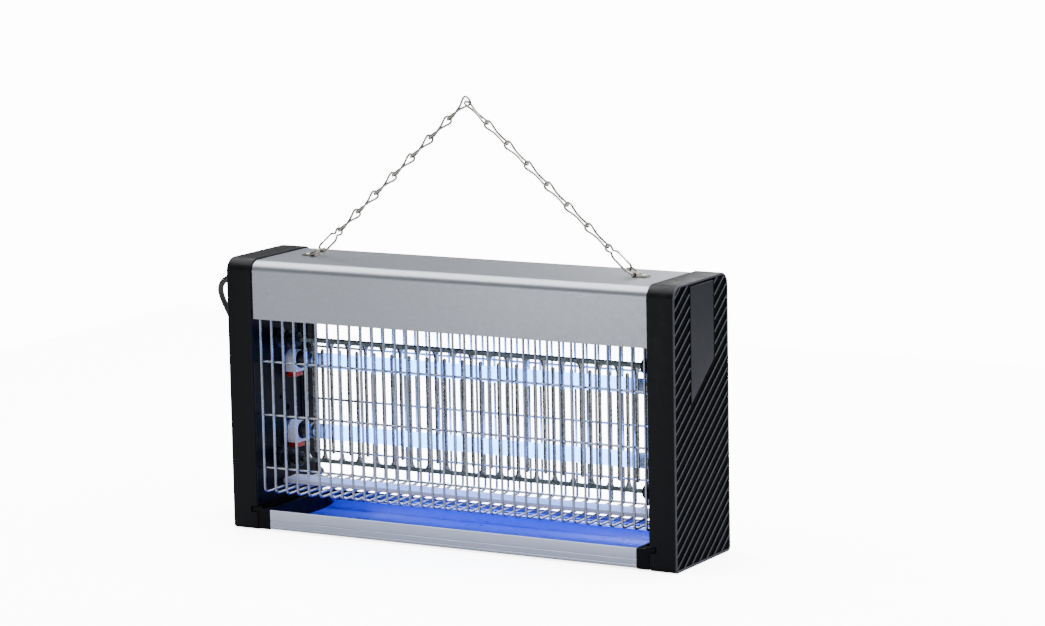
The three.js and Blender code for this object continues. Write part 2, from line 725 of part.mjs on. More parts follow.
add('upper_comb', comb(UPPER_RAIL_Z, LOWER_RAIL_Z + TOOTH_TIP_GAP, 1), FINISH.zinc);
add('lower_comb', comb(LOWER_RAIL_Z, UPPER_RAIL_Z - TOOTH_TIP_GAP, 0), FINISH.zinc);
addPair('upper_post', insulatorPost(UPPER_RAIL_Z), FINISH.black);
addPair('lower_post', insulatorPost(LOWER_RAIL_Z), FINISH.black);

for (const [level, z] of Object.entries(TUBE_HEIGHTS)) {
  add(`${level}_tube_glass`, tubeGlass(z), FINISH.glass);
  addPair(`${level}_tube_cap`, tubeCap(z), FINISH.nickel);
  addPair(`${level}_lampholder`, lampholder(z), FINISH.ceramic);
}

add('tray_pan', trayPan(), FINISH.aluminium);
addPair('tray_end', trayEnd(), FINISH.black);

addPair('eye_plate', eyePlate(), FINISH.nickel);
for (const [limb, { side }] of Object.entries(limbs)) {
  const ring = add(`${limb}_d_ring`, side < 0 ? dRing() : mirrored(dRing()), FINISH.nickel);
  ring.position.set(side * ringBarX, 0, RING_BAR_Z);
  ring.rotation.y = side * ringLean;
  addOnLimb('snap_hook', snapHook(), limb, 0, FINISH.nickel);
  addOnLimb('hook_gate', hookGate(), limb, 0, FINISH.nickel);
  for (let i = 1; i <= LINKS_PER_LIMB; i += 1) {
    const last = i === LINKS_PER_LIMB;
    const turn = last && side > 0 ? 0 : Math.PI / 2;
    const along = HOOK_PITCH + (i - 1) * LINK_PITCH;
    addOnLimb(`link_${i}`, link(turn, last ? 1.3 : 1), limb, along, FINISH.nickel);
  }
}

add('left_circuit_board', circuitBoard(-1, 44, 120), FINISH.board);
add('left_transformer', woundCore(-1, 4, 66, 30), FINISH.copper);
add('right_circuit_board', circuitBoard(1, 60, 136), FINISH.board);
add('right_choke', woundCore(1, 4, 82, 34), FINISH.copper);

add('strain_relief', strainRelief(), FINISH.black);
add('mains_lead', rod(leadRoute, CORD_RADIUS, 8), FINISH.black);
add('mains_coil', cordCoil(), FINISH.black);
add('mains_plug', mainsPlug(), FINISH.black);

export default lamp;
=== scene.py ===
"""Looks of an electric insect killer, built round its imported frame.

The lamp's sizes are in millimetres and become metres only when a mesh is made; the light
panels are in metres.  +X is the lamp's length, -Y its front and +Z up.
"""

import json
import logging
import math
from dataclasses import dataclass
from enum import Enum

import bmesh
import bpy
import numpy as np
from mathutils import Matrix, Vector


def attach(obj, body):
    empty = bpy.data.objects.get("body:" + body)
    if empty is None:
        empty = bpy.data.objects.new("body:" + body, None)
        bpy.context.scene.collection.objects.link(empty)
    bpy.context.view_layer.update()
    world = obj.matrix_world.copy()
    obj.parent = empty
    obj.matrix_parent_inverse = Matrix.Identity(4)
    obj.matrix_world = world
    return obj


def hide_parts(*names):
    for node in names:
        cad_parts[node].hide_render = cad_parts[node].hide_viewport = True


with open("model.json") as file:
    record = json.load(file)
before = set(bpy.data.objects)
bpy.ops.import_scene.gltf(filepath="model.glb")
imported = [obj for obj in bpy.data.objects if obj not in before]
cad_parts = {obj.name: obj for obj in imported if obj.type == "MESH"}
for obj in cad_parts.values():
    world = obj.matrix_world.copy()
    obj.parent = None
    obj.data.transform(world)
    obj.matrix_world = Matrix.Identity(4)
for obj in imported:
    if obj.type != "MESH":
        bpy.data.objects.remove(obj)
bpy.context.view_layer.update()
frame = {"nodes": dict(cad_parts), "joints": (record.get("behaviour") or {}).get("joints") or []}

MM = 0.001
TURN = 2.0 * math.pi
ROOT = "root"
DOUBLES = 2e-6  # metres within which two points count as one
FLAT_ANGLE = 1.0  # degrees below which two faces count as one flat
BEVEL_ANGLE = 38.0  # degrees above which an edge is rounded
CRISP_ANGLE = 32.0  # degrees above which an edge usually stays crisp
log = logging.getLogger("insect_killer")


class Side(Enum):
    """Which end of the lamp a piece belongs to; the value is the sign of X."""

    LEFT = -1
    RIGHT = 1

    @property
    def word(self) -> str:
        """The side's name as the nodes spell it."""
        return self.name.lower()


class Level(Enum):
    """Which of the two tubes or combs a piece belongs to."""

    UPPER = "upper"
    LOWER = "lower"


RAIL_HEIGHTS = {Level.UPPER: 151.0, Level.LOWER: 53.5}
TUBE_HEIGHTS = {Level.UPPER: 131.8, Level.LOWER: 73.8}


# ---- numbers and arrays ----


def linear(hex_text: str) -> tuple[float, float, float, float]:
    """Turns an sRGB hex colour into the linear colour that shaders take.

    Args:
        hex_text: six hex digits.

    Returns:
        Red, green, blue and alpha.
    """
    values = [int(hex_text[i:i + 2], 16) / 255 for i in (0, 2, 4)]
    lit = [v / 12.92 if v <= 0.04045 else ((v + 0.055) / 1.055) ** 2.4 for v in values]
    return (*lit, 1.0)


def arc(centre: tuple[float, float], radius: float, start: float, end: float,
        count: int) -> np.ndarray:
    """Points on a circle's arc: centre plus radius times (cos, sin) of evenly spread angles.

    Args:
        centre: the circle's middle.
        radius: its radius.
        start: first angle in degrees.
        end: last angle in degrees.
        count: how many points.

    Returns:
        An array of count by 2.
    """
    angle = np.radians(np.linspace(start, end, count))
    return np.asarray(centre) + radius * np.column_stack([np.cos(angle), np.sin(angle)])


def unit(vectors: np.ndarray) -> np.ndarray:
    """Each vector divided by its own length."""
    return vectors / np.linalg.norm(vectors, axis=-1, keepdims=True)


def smooth_path(points: np.ndarray, steps: int) -> np.ndarray:
    """A smooth line through points: each stretch is the cubic of Catmull and Rom.

    Args:
        points: the points to pass through, n by 3.
        steps: pieces per stretch.

    Returns:
        The line's points.
    """
    padded = np.vstack([2 * points[0] - points[1], points, 2 * points[-1] - points[-2]])
    t = np.linspace(0, 1, steps, endpoint=False)[None, :, None]
    a, b, c, d = (padded[i:len(padded) - 3 + i][:, None, :] for i in range(4))
    line = 0.5 * (2 * b + (c - a) * t + (2 * a - 5 * b + 4 * c - d) * t ** 2
                  + (3 * b - a - 3 * c + d) * t ** 3)
    return np.vstack([line.reshape(-1, 3), points[-1:]])


# ---- surfaces ----


@dataclass
class Surface:
    """Points in millimetres and the faces over them."""

    points: np.ndarray
    faces: list[tuple[int, ...]]

    def __add__(self, other: "Surface") -> "Surface":
        """Both surfaces as one."""
        shift = len(self.points)
        moved = [tuple(i + shift for i in face) for face in other.faces]
        return Surface(np.vstack([self.points, other.points]), self.faces + moved)

    def on(self, side: Side) -> "Surface":
        """The right-hand surface itself, or its mirror image for the left."""
        return Surface(self.points * [side.value, 1, 1], self.faces)

    def moved(self, x: float = 0.0, y: float = 0.0, z: float = 0.0) -> "Surface":
        """The surface pushed along the three axes."""
        return Surface(self.points + [x, y, z], self.faces)


def total(surfaces: list[Surface]) -> Surface:
    """All the surfaces joined into one."""
    whole = surfaces[0]
    for surface in surfaces[1:]:
        whole = whole + surface
    return whole


def grid(rings: np.ndarray, loop: bool = False, capped: bool = True) -> Surface:
    """Faces over a grid of points whose columns run round a closed section.

    Args:
        rings: rows by columns by 3; each row is one closed ring.
        loop: whether the last row joins the first.
        capped: whether the first and last rings are closed with a face.

    Returns:
        The surface.
    """
    rows, columns = rings.shape[:2]
    index = np.arange(rows * columns).reshape(rows, columns)
    here = index if loop else index[:-1]
    ahead = np.roll(index, -1, axis=0)[:len(here)]
    quads = np.stack([here, np.roll(here, -1, 1), np.roll(ahead, -1, 1), ahead], axis=-1)
    faces = [tuple(q) for q in quads.reshape(-1, 4).tolist()]
    if capped and not loop:
        faces += [tuple(index[0, ::-1].tolist()), tuple(index[-1].tolist())]
    return Surface(rings.reshape(-1, 3), faces)


def swept(path: np.ndarray, radius: float | np.ndarray, sides: int = 12, loop: bool = False,
          up: tuple[float, float, float] = (0, 0, 1)) -> Surface:
    """A round bar: rings of radius (cos a, sin a) in the plane square to the path.

    Args:
        path: the middle line, n by 3.
        radius: one radius or one for each point.
        sides: corners of a ring.
        loop: whether the path closes on itself.
        up: a direction the path never runs along, which fixes where a ring starts.

    Returns:
        The surface.
    """
    if loop:
        along = np.roll(path, -1, 0) - np.roll(path, 1, 0)
    else:
        along = np.gradient(path, axis=0)
    along = unit(along)
    side = unit(np.cross(along, np.asarray(up, float)))
    other = np.cross(side, along)
    angle = np.linspace(0, TURN, sides, endpoint=False)[None, :, None]
    reach = np.broadcast_to(np.asarray(radius, float), (len(path),))[:, None, None]
    ring = np.cos(angle) * side[:, None] + np.sin(angle) * other[:, None]
    return grid(path[:, None, :] + reach * ring, loop)


def turned(profile: np.ndarray, centre: tuple[float, float], sides: int = 48,
           loop: bool = False) -> Surface:
    """A solid of revolution about X: each profile point runs round the circle of its radius.

    Args:
        profile: (x, radius) pairs.
        centre: y and z of the axis.
        sides: corners of a ring.
        loop: whether the profile closes on itself.

    Returns:
        The surface.
    """
    angle = np.linspace(0, TURN, sides, endpoint=False)[None, :]
    x, radius = profile[:, :1], profile[:, 1:]
    rings = np.stack([
        np.broadcast_to(x, (len(profile), sides)),
        centre[0] + radius * np.cos(angle), centre[1] + radius * np.sin(angle),
    ], axis=-1)
    return grid(rings, loop)


def extruded(outline: np.ndarray, ends: tuple[float, float], axis: int = 0) -> Surface:
    """An outline carried straight along one axis, closed at both ends.

    Args:
        outline: closed outline in the two other axes, in X, Y, Z order.
        ends: where it starts and stops.
        axis: the axis it runs along.

    Returns:
        The surface.
    """
    rings = [np.insert(outline, axis, end, axis=1) for end in ends]
    return grid(np.stack(rings))


def box(low: tuple[float, float, float], high: tuple[float, float, float]) -> Surface:
    """A block between two corners, as an outline in Y and Z carried along X."""
    (left, front, foot), (right, rear, head) = low, high
    outline = np.array([[front, foot], [rear, foot], [rear, head], [front, head]])
    return extruded(outline, (left, right))


# ---- pieces ----


def finished(mesh: bpy.types.Mesh, sharp: float) -> None:
    """Merges doubles, points the faces outwards and smooths up to an angle.

    Args:
        mesh: the mesh, closed.
        sharp: edges above this angle in degrees stay crisp.
    """
    work = bmesh.new()
    work.from_mesh(mesh)
    bmesh.ops.remove_doubles(work, verts=work.verts, dist=DOUBLES)
    bmesh.ops.recalc_face_normals(work, faces=work.faces)
    work.to_mesh(mesh)
    work.free()
    mesh.polygons.foreach_set("use_smooth", np.ones(len(mesh.polygons), bool))
    mesh.set_sharp_from_angle(angle=math.radians(sharp))


def new_object(name: str, mesh: bpy.types.ID) -> bpy.types.Object:
    """Puts a mesh or curve into the scene under a name."""
    piece = bpy.data.objects.new(name, mesh)
    bpy.context.scene.collection.objects.link(piece)
    return piece


def made(name: str, surface: Surface, sharp: float = CRISP_ANGLE) -> bpy.types.Object:
    """Turns a surface into an object.

    Args:
        name: the piece's name.
        surface: its points and faces.
        sharp: edges above this angle in degrees stay crisp.

    Returns:
        The object.
    """
    mesh = bpy.data.meshes.new(name)
    mesh.from_pydata((surface.points * MM).tolist(), [], surface.faces)
    finished(mesh, sharp)
    return new_object(name, mesh)


def softened(piece: bpy.types.Object, width: float, segments: int = 2) -> bpy.types.Object:
    """Rounds a piece's crisp edges.

    Args:
        piece: the piece.
        width: how far the rounding reaches, in millimetres.
        segments: how many faces make it up.

    Returns:
        The same piece.
    """
    bevel = piece.modifiers.new("edges", "BEVEL")
    bevel.width = width * MM
    bevel.segments = segments
    bevel.limit_method = "ANGLE"
    bevel.angle_limit = math.radians(BEVEL_ANGLE)
    bevel.use_clamp_overlap = True
    bevel.harden_normals = False
    return piece


def rounded_copy(node: str, width: float, sharp: float = CRISP_ANGLE) -> bpy.types.Object:
    """A copy of a frame node with its flats merged and its edges rounded.

    Args:
        node: the node's name.
        width: the rounding in millimetres.
        sharp: edges above this angle in degrees stay crisp.

    Returns:
        The copy, named after the node.
    """
    mesh = frame["nodes"][node].data.copy()
    mesh.materials.clear()
    work = bmesh.new()
    work.from_mesh(mesh)
    bmesh.ops.remove_doubles(work, verts=work.verts, dist=DOUBLES)
    bmesh.ops.dissolve_limit(work, angle_limit=math.radians(FLAT_ANGLE), verts=work.verts,
                             edges=work.edges)
    work.to_mesh(mesh)
    work.free()
    finished(mesh, sharp)
    return softened(new_object(f"{node}_skin", mesh), width)


def carved(piece: bpy.types.Object, tool: Surface) -> bpy.types.Object:
    """Cuts a closed surface out of a piece and keeps the result as the piece's mesh.

    Args:
        piece: the piece to cut.
        tool: the shape taken away.

    Returns:
        The same piece.
    """
    cutter = made("cutter", tool)
    boolean = piece.modifiers.new("cut", "BOOLEAN")
    boolean.operation = "DIFFERENCE"
    boolean.object = cutter
    boolean.solver = "EXACT"
    bpy.context.view_layer.update()
    graph = bpy.context.evaluated_depsgraph_get()
    result = bpy.data.meshes.new_from_object(piece.evaluated_get(graph))
    piece.modifiers.remove(boolean)
    piece.data = result
    finished(result, CRISP_ANGLE)
    bpy.data.objects.remove(cutter)
    return piece


# ---- finishes ----


def add_node(tree: bpy.types.NodeTree, kind: str, settings: dict | None = None,
             links: dict | None = None) -> bpy.types.Node:
    """Adds one shader node with its settings and links.

    Args:
        tree: the node tree.
        kind: the node's type.
        settings: values of its sockets or properties, by name.
        links: output sockets, by the input they go into.

    Returns:
        The node.
    """
    node = tree.nodes.new(kind)
    for name, value in (settings or {}).items():
        if isinstance(name, int) or name in node.inputs:
            node.inputs[name].default_value = value
        else:
            setattr(node, name, value)
    for name, source in (links or {}).items():
        tree.links.new(source, node.inputs[name])
    return node


def outward_share(tree: bpy.types.NodeTree, place: bpy.types.NodeSocket,
                  span_mm: tuple[float, float], easing: str = "LINEAR") -> bpy.types.NodeSocket:
    """How far a point has gone outwards along X: 0 at one distance from the middle, 1 at another.

    Args:
        tree: the material's node tree.
        place: object coordinates.
        span_mm: the two distances.
        easing: how the value runs between them.

    Returns:
        The share, from 0 to 1.
    """
    parts = add_node(tree, "ShaderNodeSeparateXYZ", {}, {"Vector": place})
    reach = add_node(tree, "ShaderNodeMath", {"operation": "ABSOLUTE"}, {0: parts.outputs["X"]})
    share = add_node(tree, "ShaderNodeMapRange", {
        "interpolation_type": easing, "From Min": span_mm[0] * MM, "From Max": span_mm[1] * MM,
    }, {"Value": reach.outputs[0]})
    return share.outputs["Result"]


@dataclass(frozen=True)
class Finish:
    """A surface finish: a base look with a mottle of tone, roughness and fine relief."""

    name: str
    colour: str
    shade: str
    roughness: float
    metallic: float = 0.0
    ior: float = 1.5
    grain_mm: float = 3.0
    stretch: tuple[float, float, float] = (1.0, 1.0, 1.0)
    tone: float = 0.35
    roughness_swing: float = 0.08
    relief_mm: float = 0.01
    relief_grain_mm: float = 0.6
    specular: float = 0.5

    def material(self) -> bpy.types.Material:
        """Builds the material, or gives back the one already built."""
        known = bpy.data.materials.get(self.name)
        if known is not None:
            return known
        material = bpy.data.materials.new(self.name)
        material.use_nodes = True
        tree = material.node_tree
        tree.nodes.clear()
        shader = add_node(tree, "ShaderNodeBsdfPrincipled", {
            "Metallic": self.metallic, "IOR": self.ior, "Specular IOR Level": self.specular,
        })
        place = add_node(tree, "ShaderNodeTexCoord").outputs["Object"]
        spread = add_node(tree, "ShaderNodeMapping", {"Scale": self.stretch}, {"Vector": place})
        self.tint(tree, shader, place, spread.outputs["Vector"])
        self.relief(tree, shader, spread.outputs["Vector"])
        add_node(tree, "ShaderNodeOutputMaterial", {}, {"Surface": shader.outputs["BSDF"]})
        return material

    def tint(self, tree: bpy.types.NodeTree, shader: bpy.types.Node,
             place: bpy.types.NodeSocket, spread: bpy.types.NodeSocket) -> None:
        """Colour and roughness that wander between two values with a soft noise.

        Args:
            tree: the material's node tree.
            shader: its main shader.
            place: object coordinates.
            spread: the same, stretched along the grain.
        """
        noise = add_node(tree, "ShaderNodeTexNoise", {
            "Scale": 1 / (self.grain_mm * MM), "Detail": 4.0, "Roughness": 0.55,
        }, {"Vector": spread})
        amount = add_node(tree, "ShaderNodeMapRange", {
            "From Min": 0.3, "From Max": 0.7, "To Min": 0.0, "To Max": self.tone,
        }, {"Value": noise.outputs["Fac"]})
        colour = add_node(tree, "ShaderNodeMixRGB", {
            "Color1": linear(self.colour), "Color2": linear(self.shade),
        }, {"Fac": amount.outputs["Result"]})
        rough = add_node(tree, "ShaderNodeMapRange", {
            "From Min": 0.3, "From Max": 0.7,
            "To Min": self.roughness - self.roughness_swing,
            "To Max": self.roughness + self.roughness_swing,
        }, {"Value": noise.outputs["Fac"]})
        laid = self.overlay(tree, place, colour.outputs["Color"])
        tree.links.new(laid, shader.inputs["Base Color"])
        tree.links.new(rough.outputs["Result"], shader.inputs["Roughness"])

    def overlay(self, tree: bpy.types.NodeTree, place: bpy.types.NodeSocket,
                colour: bpy.types.NodeSocket) -> bpy.types.NodeSocket:
        """What a special finish lays over the plain colour; here nothing."""
        return colour

    def relief(self, tree: bpy.types.NodeTree, shader: bpy.types.Node,
               spread: bpy.types.NodeSocket) -> None:
        """Fine relief of the surface, as a bump of noise.

        Args:
            tree: the material's node tree.
            shader: its main shader.
            spread: object coordinates, stretched along the grain.
        """
        noise = add_node(tree, "ShaderNodeTexNoise", {
            "Scale": 1 / (self.relief_grain_mm * MM), "Detail": 3.0,
        }, {"Vector": spread})
        bump = add_node(tree, "ShaderNodeBump", {"Strength": 0.5, "Distance": self.relief_mm * MM},
                        {"Height": noise.outputs["Fac"]})
        tree.links.new(bump.outputs["Normal"], shader.inputs["Normal"])


@dataclass(frozen=True)
class EdgedFinish(Finish):
    """A finish whose colour changes past a distance from the lamp's middle."""

    limit_mm: float = 0.0
    fade_mm: float = 0.1
    beyond: str = "808080"

    def overlay(self, tree: bpy.types.NodeTree, place: bpy.types.NodeSocket,
                colour: bpy.types.NodeSocket) -> bpy.types.NodeSocket:
        """Mixes in the second colour where the distance passes the limit."""
        share = outward_share(tree, place, (self.limit_mm - self.fade_mm, self.limit_mm))
        mix = add_node(tree, "ShaderNodeMixRGB", {"Color2": linear(self.beyond)},
                       {"Fac": share, "Color1": colour})
        return mix.outputs["Color"]


@dataclass(frozen=True)
class SpangledZinc(Finish):
    """Galvanised sheet: crystals a few millimetres wide with different tones."""

    spangle_mm: float = 2.2
    dark_crystal: str = "3f4341"

    def overlay(self, tree: bpy.types.NodeTree, place: bpy.types.NodeSocket,
                colour: bpy.types.NodeSocket) -> bpy.types.NodeSocket:
        """Darkens each crystal by its own amount."""
        cells = add_node(tree, "ShaderNodeTexVoronoi", {"Scale": 1 / (self.spangle_mm * MM)},
                         {"Vector": place})
        grey = add_node(tree, "ShaderNodeRGBToBW", {}, {"Color": cells.outputs["Color"]})
        share = add_node(tree, "ShaderNodeMapRange", {
            "From Min": 0.2, "From Max": 0.8, "To Min": 0.0, "To Max": 0.7,
        }, {"Value": grey.outputs["Val"]})
        mix = add_node(tree, "ShaderNodeMixRGB", {"Color2": linear(self.dark_crystal)},
                       {"Fac": share.outputs["Result"], "Color1": colour})
        return mix.outputs["Color"]


@dataclass(frozen=True)
class LitGlass(Finish):
    """Phosphor-coated tube glass, lit, with grey ends where the electrodes sit."""

    glow: str = "3a86ff"
    unlit: str = "02040a"
    strength: float = 17.0
    lit_half_mm: float = 128.0
    dark_half_mm: float = 146.0

    def tint(self, tree: bpy.types.NodeTree, shader: bpy.types.Node,
             place: bpy.types.NodeSocket, spread: bpy.types.NodeSocket) -> None:
        """Fades the glow out towards both ends, over the finish's own mottle."""
        super().tint(tree, shader, place, spread)
        share = outward_share(tree, place, (self.lit_half_mm, self.dark_half_mm), "SMOOTHSTEP")
        light = add_node(tree, "ShaderNodeMixRGB", {
            "Color1": linear(self.glow), "Color2": linear(self.unlit),
        }, {"Fac": share})
        tree.links.new(light.outputs["Color"], shader.inputs["Emission Color"])
        shader.inputs["Emission Strength"].default_value = self.strength


# Satin-rolled aluminium: a fine, even mottle along the sheet and a soft, wide highlight.
ROLLED_ALUMINIUM = Finish(
    "rolled_aluminium", "a9adb5", "989ca5", 0.36, 1.0, grain_mm=0.9, stretch=(0.5, 1.0, 1.0),
    tone=0.5, roughness_swing=0.05, relief_mm=0.004, relief_grain_mm=0.5,
)
# Spark-eroded ABS: nearly black with a blue cast and a fine even grain that dulls the gloss.
MOULDED_ABS = Finish(
    "moulded_abs", "05060a", "090a0f", 0.45, ior=1.5, grain_mm=9.0, tone=0.6,
    relief_mm=0.02, relief_grain_mm=0.5, specular=0.1,
)
# The cap shells: the same plastic, with a painted highlight: a paler rim round the outer face.
CAP_ABS_RIM_HIGHLIGHT = EdgedFinish(
    "rimmed_abs", "05060a", "0a0b10", 0.42, ior=1.5, grain_mm=9.0, tone=0.6, relief_mm=0.02,
    relief_grain_mm=0.5, specular=0.15, limit_mm=199.5, fade_mm=0.5, beyond="4c4e55",
)
# The same plastic with a painted highlight: the crests of the ribs are paler, standing in for the
# light they catch.
RIB_ABS_CREST_HIGHLIGHT = EdgedFinish(
    "ribbed_abs", "030406", "060709", 0.5, ior=1.5, grain_mm=7.0, relief_mm=0.02, specular=0.03,
    limit_mm=199.82, fade_mm=0.2, beyond="5c5e65",
)
# Smooth polycarbonate strip, dark grey and a little glossy.
SMOOTH_STRIP = Finish(
    "smooth_polycarbonate", "26282f", "2c2e36", 0.35, grain_mm=30.0,
    relief_mm=0.004, relief_grain_mm=1.5, specular=0.2,
)
# Bright zinc-plated spring wire: sharp highlights, faint drawing marks.
PLATED_WIRE = Finish(
    "zinc_plated_wire", "b4b9c3", "8d929c", 0.2, 1.0, grain_mm=4.0, tone=0.5,
    roughness_swing=0.07, relief_mm=0.01, relief_grain_mm=0.8,
)
# Nickel-plated wire of the chain, a touch warmer, with dull marks where links rub.
NICKEL_WIRE = Finish(
    "nickel_plated_wire", "a8a49a", "6f6c66", 0.22, 1.0, grain_mm=3.0, tone=0.6,
    roughness_swing=0.1, relief_mm=0.015, relief_grain_mm=0.7,
)
# Galvanised sheet of the high-voltage combs.
GALVANISED = SpangledZinc(
    "galvanised_sheet", "c4c6c6", "8d908f", 0.2, 1.0, grain_mm=1.2, tone=0.8,
    roughness_swing=0.1, relief_mm=0.03, relief_grain_mm=0.9, spangle_mm=1.3,
)
# The rails' galvanising is older and duller, with a green-grey cast.
DULL_GALVANISED = SpangledZinc(
    "dull_galvanised", "75807e", "59625f", 0.42, 1.0, grain_mm=2.5, tone=0.6,
    roughness_swing=0.08, relief_mm=0.02, relief_grain_mm=0.8,
)
# Black phenolic insulators: hard, clean and a little shiny.
PHENOLIC = Finish(
    "phenolic_resin", "0a0b0e", "121318", 0.42, grain_mm=4.0, relief_mm=0.01, specular=0.25,
)
# White thermoset of the lampholders with a soft random mottle, and painted shade: dark grey-violet
# past 175 mm from the middle, where each holder meets its cap.
THERMOSET_SHADE_AT_CAP = EdgedFinish(
    "white_thermoset", "f6f7fc", "e6e8f2", 0.3, ior=1.5, grain_mm=5.0, tone=0.4,
    limit_mm=175.0, fade_mm=0.4, beyond="6d6878",
)
# Red see-through terminal under each lampholder.
RED_TERMINAL = Finish(
    "red_polycarbonate", "e0141a", "a80c12", 0.25, grain_mm=3.0, relief_mm=0.005,
)
# Aluminium ferrule of a tube.
FERRULE = Finish(
    "ferrule_aluminium", "9aa0a8", "7f858d", 0.32, 1.0, grain_mm=3.0, stretch=(1.0, 0.2, 0.2),
)
# The lit tubes.
TUBE_GLASS = LitGlass(
    "coated_tube_glass", "c8d4e0", "aab8c8", 0.12, ior=1.5, grain_mm=20.0, relief_mm=0.002,
)
# Smooth rolled front wall of the tray, plain bright metal.
TRAY_SHEET = Finish(
    "tray_sheet", "ccd2de", "bcc3d1", 0.3, 1.0, grain_mm=6.0, stretch=(0.2, 1.0, 1.0),
    tone=0.2, roughness_swing=0.03, relief_mm=0.002,
)
# Tray floor, its colour a saturated blue that paints in the blue light the tubes cast on it: even,
# satin, with a soft random mottle a little deeper in places.
BLUE_LIT_TRAY_FLOOR = Finish(
    "floor_lacquer", "3a52ee", "3047dc", 0.3, 0.15, grain_mm=14.0, stretch=(0.3, 1.0, 1.0),
    tone=0.5, roughness_swing=0.04, relief_mm=0.003, relief_grain_mm=2.0,
)
# The bead at the tray's rear is polished by rolling and mirrors the guard; its pale blue metal
# colour is painted blue light from the tubes.
BLUE_LIT_POLISHED_BEAD = Finish(
    "polished_bead", "b4bcf4", "98a4ee", 0.1, 1.0, grain_mm=8.0, tone=0.3,
    roughness_swing=0.03, relief_mm=0.002,
)
# White-lacquered steel of the brace.
WHITE_LACQUER = Finish(
    "white_lacquer", "e8e9f4", "dcdeea", 0.35, grain_mm=8.0, relief_mm=0.01, relief_grain_mm=1.0,
)
# Soft black PVC of the mains lead.
LEAD_PVC = Finish(
    "lead_pvc", "0c0c0e", "17171a", 0.45, ior=1.52, grain_mm=12.0, relief_mm=0.02,
    relief_grain_mm=0.9,
)
# Nickelled brass plug pins.
PIN_BRASS = Finish("nickelled_brass", "c9c2ac", "a39c86", 0.22, 1.0, grain_mm=2.0)
# Green glass-fibre laminate of the circuit boards.
LAMINATE = Finish("glass_laminate", "1d4a2a", "2a5f38", 0.4, grain_mm=1.5, relief_mm=0.02)
# Enamelled copper winding.
WINDING = Finish(
    "enamelled_copper", "8a4a20", "5c2c12", 0.35, 0.6, grain_mm=0.8, stretch=(0.1, 0.1, 1.0),
    relief_mm=0.1, relief_grain_mm=0.8,
)


def dress(piece: bpy.types.Object, finish: Finish, body: str,
          nodes: tuple[str, ...] = ()) -> bpy.types.Object:
    """Gives a piece its finish and body, and hides the frame nodes it stands for.

    Args:
        piece: the piece.
        finish: its finish.
        body: the body it rides on.
        nodes: the frame nodes it replaces.

    Returns:
        The same piece.
    """
    piece.data.materials.clear()
    piece.data.materials.append(finish.material())
    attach(piece, body)
    if nodes:
        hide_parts(*nodes)
    log.info("piece %s rides on %s", piece.name, body)
    return piece


def joint(name: str) -> dict:
    """The frame's joint of that name."""
    return next(j for j in frame["joints"] if j["name"] == name)


# ---- studio ----


@dataclass(frozen=True)
class Panel:
    """One soft light panel: where it hangs, what it faces and its size, in metres."""

    name: str
    place: tuple[float, float, float]
    aim: tuple[float, float, float]
    size: tuple[float, float]
    watts: float

    def build(self) -> None:
        """Hangs the panel, hidden from the camera."""
        data = bpy.data.lights.new(self.name, "AREA")
        data.shape = "RECTANGLE"
        data.size, data.size_y = self.size
        data.energy = self.watts
        light = new_object(self.name, data)
        facing = (Vector(self.aim) - Vector(self.place)).to_track_quat("-Z", "Y")
        light.matrix_world = Matrix.Translation(self.place) @ facing.to_matrix().to_4x4()
        light.visible_camera = False


